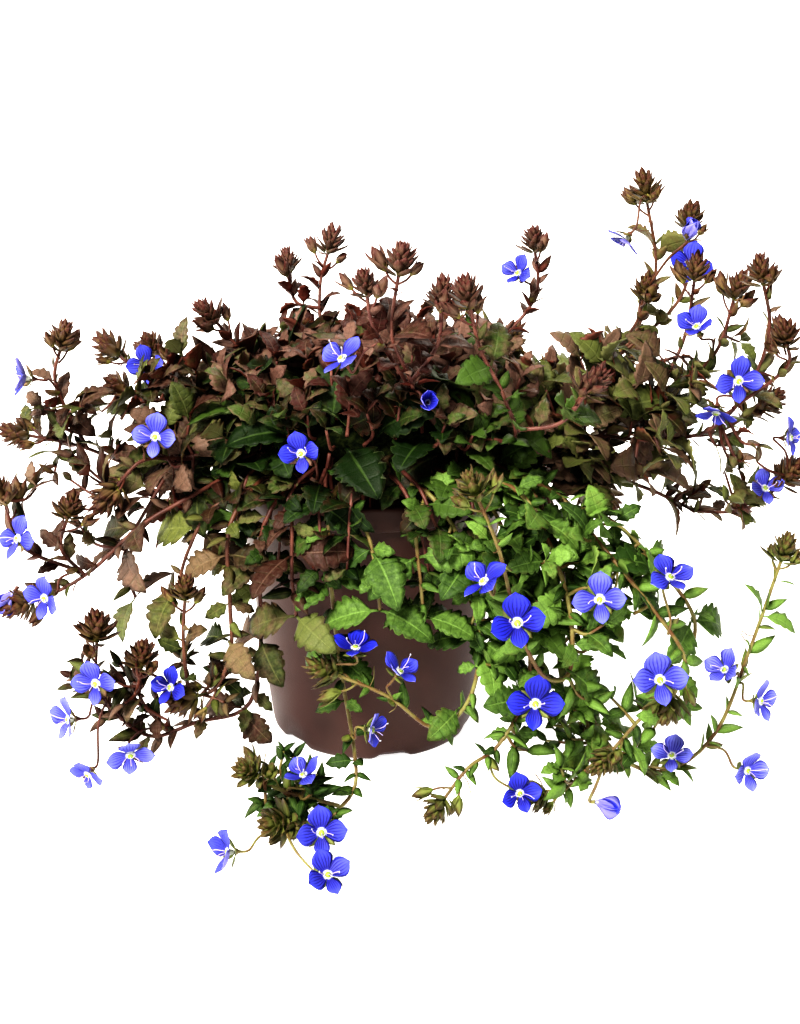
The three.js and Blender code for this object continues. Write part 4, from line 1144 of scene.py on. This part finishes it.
LARGE = leaf_shape(4, (0.01, 0.4, 0.8), 0.34, 0.28)
MIDDLING = leaf_shape(3, (0.01, 0.5), 0.3, 0.3)
TINY = plain_shape(0.24, blunt=0.8, bend=0.2)
NARROW = plain_shape(0.17, peak=0.75, bend=0.25)
BRACT = plain_shape(0.21, peak=0.95, blunt=0.75, bend=-0.3)
BUD_SEPAL = plain_shape(0.2, peak=0.85, blunt=0.8, bend=-0.5)
SEPAL = plain_shape(0.24, rows=5, peak=0.85)
PETAL_SHAPES = [petal_shape(half / length) for length, half in PETALS]


def before_bloom(places, reach=1.0, share=0.3):
    """Whether each leaf lies before a bloom: within its radius times reach, and a share of the leaf's
    length."""
    away = middles(places)[:, None] - BLOOM_MIDDLES
    depth = (away * BLOOM_FACES).sum(-1)
    aside = np.linalg.norm(away - depth[..., None] * BLOOM_FACES, axis=-1)
    near = aside < reach * BLOOM_RADII + share * lengths(places)[:, None]
    return ((depth > BEFORE_BLOOM[0]) & (depth < BEFORE_BLOOM[1]) & near).any(1)


def open_places(places):
    """Leaves out the places that lie before a bloom, within a head of buds, or in the mound's dark
    hollow."""
    if not places:
        return places
    middle = middles(places)
    from_head = np.linalg.norm(middle[:, None] - HEAD_MIDDLES, axis=-1)
    hidden = before_bloom(places) | (from_head < HEAD_CLEAR + 0.2 * lengths(places)[:, None]).any(1)
    hidden |= (((middle - HOLLOW[0]) / HOLLOW[1]) ** 2).sum(-1) < 1
    return list(compress(places, ~hidden))


def add_leaves(piece, places, tone, draw, green):
    """Adds leaves by size, with their own small differences in colour and bend, and painted shade and
    light in how light they are. green is taken from how bronze they are."""
    bronze = leaf_bronze(places, tone, draw) - green
    # light holds each leaf's own tone with painted shade and light
    light = leaf_tone_with_painted_shade_and_light(places, tone, draw)
    size = lengths(places)
    narrow = np.array([p.narrow for p in places])
    groups = [
        (LARGE, 0.3, ~narrow & (size >= BIG_LEAF)),
        (MIDDLING, 0.26, ~narrow & (size < BIG_LEAF) & (size >= TINY_LEAF)),
        (TINY, 0.24, ~narrow & (size < TINY_LEAF)),
        (NARROW, 0.24, narrow),
    ]
    for shape, thickness, chosen in groups:
        n = chosen.sum()
        blades(
            piece, list(compress(places, chosen)), shape, thickness, 0, bronze[chosen], light[chosen],
            draw.uniform(-0.1, 0.6, n), draw.uniform(-0.2, 0.1, n), draw.uniform(-0.3, 0.3, n),
        )


def grow_shoot(name, shoot, index):
    """A shoot: its stems with hairs, the leaves of the solid, smaller ones between them, and its heads."""
    tone = shoot.tone
    young = shoot.young or tone
    stems = TRACED[name]
    node = "shoot_" + name
    tree = point_tree([vertex.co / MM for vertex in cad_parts[node].data.vertices])
    draw = draws(index + 1)
    extra = np.random.default_rng(SHOOT_SEED + index)
    places = []
    wood = Piece("stems_" + name)
    buds = Piece("buds_" + name)
    for stem in stems:
        for k in range(stem.first, len(stem.joints) - (1 if stem.head else 0)):
            joint = stem.joints[k]
            taper = 1 - TIP_TAPER * (k / len(stem.joints)) ** 2
            turn = FIRST_TURN + PAIR_TURN * k + between(TURN_RANGE, draw)
            length = stem.leaf * taper * between(LENGTH_RANGE, draw)
            if shoot.cored and in_core(joint.node):
                continue
            for mate in (0, 180):
                place = leaf_in_solid(tree, joint, LEAF_LEAN, turn + mate, length, draw)
                if place and not before_bloom([place], 0.8, 0.15)[0]:
                    places.append(place)
        places += open_places(small_leaves(stem, extra))
        add_stem(wood, stem, extra)
        if stem.head:
            add_head(buds, wood, stem, extra)
    joints = [joint for stem in stems for joint in stem.joints]
    for bloom in shoot.blooms:
        add_stalk(wood, buds, joints, bloom, extra)
    if shoot.cored:
        core = draws(len(SHOOTS) + 1)
        for joint in core_joints(CORE_LEAVES, CORE_LOWEST, CORE_SEAT):
            length = CORE_LEAF * between(CORE_LENGTH_RANGE, core)
            place = leaf_in_solid(tree, joint, CORE_LEAN, 360 * next(core), length, core)
            if place:
                places.append(place)
        places += open_places(mound_twigs(wood, extra))
    for path, size, narrow in CLOUD_TWIGS[name]:
        tube(wood, path, np.linspace(0.5, 0.32, len(path)), 6)
        length = np.linalg.norm(path[-1] - path[0])
        pairs = max(2, round(length / (0.4 * size + 1)))
        places += open_places(twig_places(path, size, pairs, extra, 0.6, narrow))
    leaves = Piece("leaves_" + name)
    add_leaves(leaves, places, tone, extra, YOUNG_GREEN if shoot.young else 0)
    for bloom in CLOSED:
        if bloom[0] == name:
            add_closed_bloom(wood, buds, joints, bloom, extra)
    slot = "leaf_" + tone
    leaves.make([LEAF_MATERIALS[young]], node)
    wood.make([STEM_MATERIALS[young], HAIR], node)
    buds.make([BUD_MATERIALS[young], PETAL], node)


def leaf_bronze(places, tone, draw):
    """How bronze each leaf is. In the deep green middle the top is bronze and the lower leaves are
    green."""
    middle, spread = BRONZE[tone]
    root = np.array([p.root for p in places])
    own = middle + draw.uniform(-spread, spread, len(places))
    if tone == "deep":
        rising = (root[:, 0] > GREEN_STEM[0]) & (root[:, 1] < GREEN_STEM[1])
        height = (root[:, 2] - TOP_BRONZE[0]) / (TOP_BRONZE[1] - TOP_BRONZE[0])
        own += 0.95 * np.clip(height, 0, 1) * ~rising
    if tone in ("bronze", "moss"):
        own -= 0.2 * (root[:, 0] > GREENER)
    return own


def leaf_tone_with_painted_shade_and_light(places, tone, draw):
    """How light each leaf is: its own share, with painted shade taken off for each leaf that crowds above
    it, round the hollow and low in the deep mound, and painted light added at the right."""
    middle = middles(places)
    tree = point_tree(middle)
    # Painted shade: each leaf that crowds above a leaf darkens it
    above = middle + CROWD_STEP * unit(middle - HEART)
    crowd = np.array([len(tree.find_range(point, CROWD_REACH)) for point in above])
    # Painted light: leaves grow lighter towards the right
    right = np.clip((middle[:, 0] - PAINTED_LIGHT_X[0]) / (PAINTED_LIGHT_X[1] - PAINTED_LIGHT_X[0]), 0, 1)
    # Painted shade round the mound's hollow
    painted_shade = 0.5 * np.exp(-(((middle - HOLLOW[0]) / PAINTED_SHADE_REACH) ** 2).sum(-1))
    own = draw.uniform(0.2, 1.1, len(places)) - 0.05 * crowd - painted_shade
    # Fresh leaves get painted shade at the left and painted light at the right
    if tone == "fresh":
        return np.clip(own * (0.6 + 0.4 * right) + 0.12 * right, 0, 1)
    # Painted light at the right, and painted shade on the deep mound's low leaves
    return np.clip(own + 0.55 * right - 0.15 * (middle[:, 2] < 90) * (tone == "deep"), 0, 1)


def small_leaves(stem, draw):
    """Pairs of small leaves between the larger ones of a stem, narrow and without teeth near the tip."""
    places = []
    count = int(step_lengths(stem.fine).sum() / SMALL_STEP)
    for k in range(1, count):
        share = (k + draw.uniform(-0.3, 0.3)) / count
        joint = stem_joint(stem.fine, share, stem.joints[-1].u)
        if math.hypot(joint.p[0], joint.p[1]) < BODY_TOP_RADIUS and joint.p[2] < POT_HEIGHT + 2:
            continue
        turn = PAIR_TURN * k + draw.uniform(-25, 25)
        narrow = draw.uniform(0.3, 0.8) < share
        size = draw.uniform(*SMALL_SIZES) * (1 - 0.25 * share)
        for mate in (0, 180):
            if draw.uniform() < SMALL_CHANCE:
                lift, roll = draw.uniform(0, 40), draw.uniform(-25, 25)
                reach = size * draw.uniform(0.8, 1.2)
                place = place_leaf(joint, 0.6, turn + mate, lift, roll, reach, loose_face(joint.p, draw))
                if is_above(place, LOWEST):
                    places.append(place._replace(narrow=narrow))
    return places


def add_stem(wood, stem, draw):
    """A stem with hairs: a tube through every second point of its curve, which thins evenly to its tip."""
    path = np.vstack([stem.fine[:-1:2], stem.fine[-1]])
    radius = np.linspace(stem.radius, STEM_TIP_RADIUS, len(path)) * SLIM
    tube(wood, path, radius, 8)
    hairs(wood, path, radius, int(HAIRS * step_lengths(path).sum()), 0.6, draw)


def add_head(buds, wood, stem, draw):
    """A head of buds at a stem's tip: a cone of bracts round a core, the bare thin stalks of fallen
    flowers under it, and side buds on short stalks."""
    tip = stem.joints[-1]
    size = stem.head * draw.uniform(0.9, 1.15)
    places, share = head_places(tip.p, tip.t, size, draw)
    # Painted shade: the lower bracts get a low shade mark and so are darker, with chance differences
    shade = np.clip(0.2 + 0.6 * share + draw.uniform(-0.25, 0.25, len(places)), 0, 1)
    above = np.array([is_above(place, LOWEST_BRACT) for place in places])
    bronze = 0.5 + 0.2 * share
    blades(buds, list(compress(places, above)), BRACT, 0.3, 0, bronze[above], shade[above], 1.3, -0.04, 0)
    # A low shade mark paints shade on the head's middle
    ball(buds, tip.p + tip.t * size * 0.1, tip.t, size * 0.13, size * 0.8, 0, 0.4, 0.3)
    for _ in range(SPENT_STALKS):
        out = tip.u * draw.normal() + tip.v * draw.normal()
        start = stem.fine[-draw.integers(6, 16)]
        end = start + draw.uniform(3, 6) * unit(out + 0.4 * tip.t)
        bend = (start + end) / 2 - 0.6 * tip.t
        add_twig(wood, [start, bend, end], 6, 0.13, 0.13, 4)
    for i in range(SIDE_BUDS):
        out = spoke(tip.u, tip.v, 180 * i + draw.uniform(-40, 40))
        start = tip.p - tip.t * size * draw.uniform(0.5, 0.9)
        end = start + unit(out + 0.9 * tip.t) * draw.uniform(3.5, 5.5)
        bend = (start + end) / 2 + 0.5 * out
        path = curve_points([start, bend, end], 6)
        way = unit(path[-1] - path[-2])
        if end[2] + 6 * min(0, way[2]) < LOWEST:
            continue
        tube(wood, path, 0.3, 5)
        own = bud_places(end, way, draw.uniform(4.5, 7), draw)
        blades(buds, own, BUD_SEPAL, 0.25, 0, 0.55, draw.uniform(0.2, 0.9, len(own)), 0.9, -0.12, 0)
        ball(buds, end + way * 1.5, way, 0.8, 3.2, 0, 0.4, 0.6)


def add_stalk(wood, buds, joints, bloom, draw):
    """The stalk of a bloom, with a small bract at its foot and four sepals behind the petals."""
    middle, face, radius = bloom
    n, up, left = bloom_frame(face)
    seat = np.array(middle) - n * (THROAT_DEPTH + SEAT)
    neck = seat - n * radius * NECK
    start = nearest(joints, neck)
    foot = start.node
    if np.linalg.norm(foot - neck) > LONGEST_STALK:
        foot = neck - 0.6 * LONGEST_STALK * unit(n + [0, 0, 0.7])
    bend = (foot + neck) / 2 + start.t * STALK_BOW
    path = curve_points([foot, bend, neck, seat], 24)
    width = np.full(len(path), STALK_RADIUS * 0.8)
    width[-4:] = [0.36, 0.5, 0.75, 0.95]
    tube(wood, path, width, 7)
    hairs(wood, path, width, 40, 0.45, draw)
    places = []
    for i in range(4):
        out = spoke(up, left, 45 + 90 * i)
        along = unit(out + 0.25 * n)
        places.append(Place(seat + out * 0.5, along, unit(n - along * (n @ along)), 0.62 * radius))
    blades(buds, places, SEPAL, 0.25, 0, 0.3, draw.uniform(0.4, 1, 4), 0.5, 0.2, 0)
    away = unit(path[6] - path[0])
    bract = place_leaf(Joint(foot, away, start.u, start.v, foot), 1.2, draw.uniform(0, 360), 20, 0, 5)
    blades(buds, [bract], BRACT, 0.25, 0, 0.4, 0.6, 0.5, 0.1, 0)


def add_closed_bloom(wood, buds, joints, bloom, draw):
    """A bloom that hasn't opened: four petals folded round each other, in four sepals on a bent stalk."""
    _, middle, face, length, opened = bloom
    n, up, left = bloom_frame(face)
    seat = np.array(middle, float) - 0.5 * length * n
    start = nearest(joints, seat)
    bend = (start.node + seat) / 2 + start.t * STALK_BOW
    add_twig(wood, [start.node, bend, seat - 1.5 * n, seat], 16, 0.32, 0.5, 7)
    petals = (PETAL_SHAPES[1], 1, 0, opened, length, 1.2)
    sepals = (SEPAL, 0, 45, 1.5 * opened, 0.6 * length, 0.8)
    for shape, finish, first, tilt, size, cup in (petals, sepals):
        places = []
        for i in range(4):
            out = spoke(up, left, 90 * i + first + draw.uniform(-10, 10))
            lean = tilt + draw.uniform(-5, 5)
            places.append(Place(seat + 0.3 * out, spoke(n, out, lean), unit(-spoke(out, -n, lean)), size))
        blades(buds, places, shape, 0.22, finish, 0.4, 0.15, cup, 0.2, 0.3)


def mound_twigs(wood, draw):
    """Short leafy twigs that stand on the core, and others that hang over the pot's rim."""
    places = []
    for joint in core_joints(TWIGS, -0.25, 0.9):
        size = draw.uniform(*TWIG_SIZES)
        rise = unit(joint.t + [0, 0, 0.7] + 0.25 * draw.normal(size=3))
        start = joint.node - joint.t * 2
        bend = start + rise * size * 0.5 + 0.08 * size * draw.normal(size=3)
        end = start + unit(rise + [0, 0, 0.4]) * size
        path = add_twig(wood, [start, bend, end], 9, 0.55, 0.35, 6)
        places += twig_places(path, draw.uniform(9, 13), 3, draw)
    for i in range(SKIRT_TWIGS):
        turn = math.radians(360 * (i + draw.uniform(-0.3, 0.3)) / SKIRT_TWIGS)
        out = np.array([math.cos(turn), math.sin(turn), 0])
        aside = np.array([-math.sin(turn), math.cos(turn), 0]) * draw.uniform(-6, 6)
        drop = draw.uniform(4, 16)
        reach = np.outer([34, 43, 48, draw.uniform(46, 52)], out)
        points = reach + np.outer([86, 84, 77, 77 - drop], [0, 0, 1]) + np.outer([0, 0.5, 1, 1.4], aside)
        path = add_twig(wood, points, 12, 0.6, 0.35, 6)
        places += twig_places(path, draw.uniform(10, 14), 4, draw, lean=0.7)
    return places


def make_flower(name, node, bloom, faded, draw):
    """The four petals of a flower round a white eye and a yellow-green throat, with two stamens and a
    style. faded is how pale they are."""
    middle, face, radius = bloom
    middle = np.array(middle, float)
    n, up, left = bloom_frame(face)
    piece = Piece(name)
    pale = np.clip(faded + draw.uniform(-PALE_SPREAD, PALE_SPREAD), 0, 1)
    swing = draw.uniform(-13, 13)
    folded = draw.uniform(0, 20)
    for i, (length, _) in enumerate(PETALS):
        out = spoke(up, left, 90 * i + swing + draw.uniform(-8, 8))
        tilt = folded + draw.uniform(-6, 6)
        root = middle + out * 0.3 - n * 0.3
        place = Place(root, spoke(out, n, tilt), spoke(n, -out, tilt), length * radius - 0.3)
        cup, curl, twist = draw.uniform(-0.3, 0.6), draw.uniform(-0.2, 0.2), draw.uniform(-0.3, 0.3)
        blades(piece, [place], PETAL_SHAPES[i], 0.22, 0, 0.5, pale, cup, curl, twist)
    dish = [(0.02, -1.5), (0.5, -1.2), (0.7, -0.2), (0.88, 0.2), (0.76, 0.32), (0.6, 0.28), (0.02, 0.25)]
    cone = [(0.02, 0.1), (0.56, 0.2), (0.64, 0.36), (0.36, 0.5), (0.02, 0.54)]
    for finish, profile, sides in ((1, dish, 16), (2, cone, 12)):
        add_rings(piece, placed(lathe(profile, sides), middle, n, radius / EYE_SIZE), finish)
    for sign in (-1, 1):
        start = middle + sign * left * 0.6 + n * 0.3
        rise = draw.uniform(-1.2, 1.8)
        bend = start + sign * left * 1.3 + n * 1.8 + up * 0.3 * rise
        end = start + sign * left * draw.uniform(1.2, 2.8) + n * draw.uniform(2.4, 3.6) + up * rise
        path = curve_points([start, bend, end], 8)
        tube(piece, path, [0.07, 0.09, 0.11, 0.12, 0.12, 0.12, 0.11, 0.09, 0.07], 6, 3)
        ball(piece, end + 0.2 * n, unit(n + 0.5 * up), 0.2, 0.7, 4)
    style = [middle + n * 0.4, middle + n * 1.8 - up * 0.3, middle + n * 3.0 - up * 1.0]
    add_twig(piece, style, 6, 0.09, 0.09, 5, 3)
    piece.make([PETAL, EYE, THROAT, FILAMENT, ANTHER], node)


def make_pot():
    """The pot: a turned shell with rounded edges and a band under its rim. Its standing edge is raised in
    a low arch at each drain notch."""
    sides = 144
    band = POT_HEIGHT - RIM_BAND
    profile = [
        (0.3, 0.6), (12, 0.6), (23.5, 0.6), (24.5, 0), (26.9, 0), (BASE_RADIUS - 1.3, 0),
        (BASE_RADIUS - 0.5, 0.25), (BASE_RADIUS - 0.05, 0.9), (BASE_RADIUS + 0.25, 2.6),
    ]
    slope = (BODY_TOP_RADIUS - BASE_RADIUS) / band
    profile += [(BASE_RADIUS + slope * z, z) for z in (10, 20, 30, 40, 50, 60, 68, band - 0.6)]
    profile += [
        (BODY_TOP_RADIUS + 0.2, band - 0.1), (RIM_RADIUS - 1.0, band + 0.25),
        (RIM_RADIUS - 0.5, band + 0.7), (RIM_RADIUS - 0.1, POT_HEIGHT - 1.2),
        (RIM_RADIUS - 0.15, POT_HEIGHT - 0.4), (RIM_RADIUS - 0.6, POT_HEIGHT),
        (RIM_RADIUS - 1.5, POT_HEIGHT), (RIM_RADIUS - 1.9, POT_HEIGHT - 0.4),
        (RIM_RADIUS - 2.1, band + 1), (BODY_TOP_RADIUS - WALL, band - 1),
        (BASE_RADIUS - WALL + slope * 30, 30), (BASE_RADIUS - WALL, 4.5), (26.3, 1.6), (24, FLOOR),
        (0.3, FLOOR),
    ]
    points = lathe(profile, sides)
    angle = np.linspace(0, 360, sides, endpoint=False)
    half_gap = 180 / DRAIN_COUNT
    away = np.abs((angle - FIRST_DRAIN + half_gap) % (2 * half_gap) - half_gap)
    arch = 1 - np.clip((away - DRAIN_TOP) / DRAIN_SIDE, 0, 1)
    arch = arch * arch * (3 - 2 * arch)
    for row, share in ((4, 0.4), (5, 1), (6, 1), (7, 1)):
        points[row, :, 2] += arch * DRAIN_RISE * share
    pot = Piece("pot_shell")
    add_rings(pot, points)
    pot.make([pot_material()], "pot")


def make_soil():
    """The soil: a turned block whose top is a low dome with lumps, and loose crumbs on it."""
    draw = np.random.default_rng(SOIL_SEED)
    slope = (BODY_TOP_RADIUS - BASE_RADIUS) / (POT_HEIGHT - RIM_BAND)
    low = FLOOR + SEAT
    wall = [(BASE_RADIUS - 2 * WALL + slope * z - 0.2, z) for z in (5, 20, 40, 60, SOIL_EDGE - 0.5)]
    top = wall[-1][0]
    profile = [(0.3, low), (23.6, low), (25.6, low + 0.6)] + wall + [(top - 0.6, SOIL_EDGE)]
    first = len(profile)
    profile += [(top * share, SOIL_EDGE) for share in np.linspace(0.93, 0.01, 22)]
    points = lathe(profile, 96)
    x, y = points[first:, :, 0], points[first:, :, 1]
    share = (x ** 2 + y ** 2) / BODY_TOP_RADIUS ** 2
    lumps = 0.5 * np.sin(x * 0.4) * np.cos(y * 0.5 + 1)
    lumps += 0.25 * np.sin(1.3 * x + y) * np.sin(1.1 * y - 0.6 * x)
    points[first:, :, 2] = SOIL_EDGE - 0.6 + (SOIL_CROWN - 0.4) * (1 - share) + lumps
    soil = Piece("soil_block")
    add_rings(soil, points)
    for _ in range(CRUMBS):
        r, turn = top * math.sqrt(draw.uniform(0, 0.9)), draw.uniform(0, 2 * math.pi)
        spot = np.array([r * math.cos(turn), r * math.sin(turn), 0])
        spot[2] = SOIL_EDGE - 0.4 + (SOIL_CROWN - 0.4) * (1 - (r / BODY_TOP_RADIUS) ** 2)
        size = draw.uniform(0.5, 1.4)
        ball(soil, spot, draw.normal(size=3), size, 2.4 * size, sides=6)
    colours = (0.008, 0.005, 0.003), (0.05, 0.032, 0.02)
    crumbly = patchy_material("potting soil", (2.2, 6.0), colours, (0.35, 0.65), 0.9, 1.2, 0.5)
    soil.make([crumbly], "soil")


def make_core():
    """A lumpy sheet inside the mound, smaller than the solid's core, near black as painted shade between
    the leaves, and bare stems that carry it."""
    draw = np.random.default_rng(CORE_SEED)
    turn = np.linspace(0.03, math.pi - 0.03, 30)
    points = lathe(np.stack([np.sin(turn), -np.cos(turn)], -1), 64)
    x, y, z = points[..., :1], points[..., 1:2], points[..., 2:]
    lump = 0.84 + 0.05 * np.sin(5 * x + 1) * np.cos(4 * y + 6 * z)
    lump += 0.03 * np.sin(17 * x) * np.sin(15 * y + 9 * z)
    points = points * lump * CORE_RADII + CORE_MIDDLE
    core = Piece("mound_core")
    add_rings(core, points, 0, 0.4, 0.1)
    for _ in range(UNDERGROWTH):
        r, turn = 31 * math.sqrt(draw.uniform(0.1, 1)), draw.uniform(0, 2 * math.pi)
        foot = np.array([r * math.cos(turn), r * math.sin(turn), SOIL_EDGE])
        top = foot * [1.1, 1.1, 0] + [0, 0, 90]
        middle = (foot + top) / 2 + draw.uniform(-2, 2, 3)
        add_twig(core, [foot, middle, top], 8, 0.8, 0.5, 6, 1)
    # Near-black colours: painted shade inside the mound
    colours = (0.002, 0.004, 0.001), (0.012, 0.016, 0.004)
    dark = patchy_material("painted shade core", (1.4, 4.0), colours, (0.4, 0.65), 0.9, 1.5, 0.05)
    core.make([dark, STEM_MATERIALS["deep"]], "shoot_mound")


TRACED = {name: trace_shoot(shoot) for name, shoot in SHOOTS.items()}
BLOOMS = [bloom for shoot in SHOOTS.values() for bloom in shoot.blooms]
BLOOM_MIDDLES = np.array([middle for middle, _, _ in BLOOMS], float)
BLOOM_FACES = unit([face for _, face, _ in BLOOMS])
BLOOM_RADII = np.array([radius for _, _, radius in BLOOMS])
HEAD_MIDDLES = np.array([
    stem.joints[-1].p + 2 * stem.joints[-1].t for stems in TRACED.values() for stem in stems if stem.head
])
CLOUD_TWIGS = cloud_twigs()

make_pot()
make_soil()
make_core()
for number, (shoot_name, shoot_plan) in enumerate(SHOOTS.items()):
    grow_shoot(shoot_name, shoot_plan, number)
    faded_by = PALE.get(shoot_name, FULL_BLUE)
    for flower, bloom_plan in enumerate(shoot_plan.blooms):
        title = f"{shoot_name}_{flower + 1}"
        own_draw = np.random.default_rng(FLOWER_SEED + 10 * number + flower)
        make_flower("flower_" + title, "bloom_" + title, bloom_plan, faded_by, own_draw)

# The white ground, the light and the camera
scene = bpy.context.scene
ground = bpy.data.meshes.new("ground")
square = [(x * GROUND_REACH, y * GROUND_REACH, 0) for x, y in ((-1, -1), (1, -1), (1, 1), (-1, 1))]
ground.from_pydata(square, [], [(0, 1, 2, 3)])
glow = {"Emission_Color": (1, 1, 1, 1), "Emission_Strength": 0.6}
ground.materials.append(plain_material("white ground", (0.9, 0.9, 0.9), 0.9, **glow))
floor = bpy.data.objects.new("ground", ground)
scene.collection.objects.link(floor)

for title, place, target, size, power in LIGHTS:
    light = bpy.data.lights.new(title, "AREA")
    light.color = WARM
    light.energy = power
    light.size = size
    lamp = bpy.data.objects.new(title, light)
    lamp.location = place
    lamp.rotation_euler = (Vector(target) - Vector(place)).to_track_quat("-Z", "Y").to_euler()
    scene.collection.objects.link(lamp)
world = bpy.data.worlds.new("white room")
world.use_nodes = True
world.node_tree.nodes["Background"].inputs["Color"].default_value = SKY
world.node_tree.nodes["Background"].inputs["Strength"].default_value = SKY_LIGHT
scene.world = world
scene.view_settings.view_transform = "Standard"
scene.view_settings.look = "High Contrast"

camera = bpy.data.objects.new("camera", bpy.data.cameras.new("camera"))
camera.data.lens = LENS
camera.data.sensor_width = SENSOR
camera.location = CAMERA_PLACE
camera.rotation_euler = (math.radians(CAMERA_TILT), 0, 0)
scene.collection.objects.link(camera)
scene.camera = camera
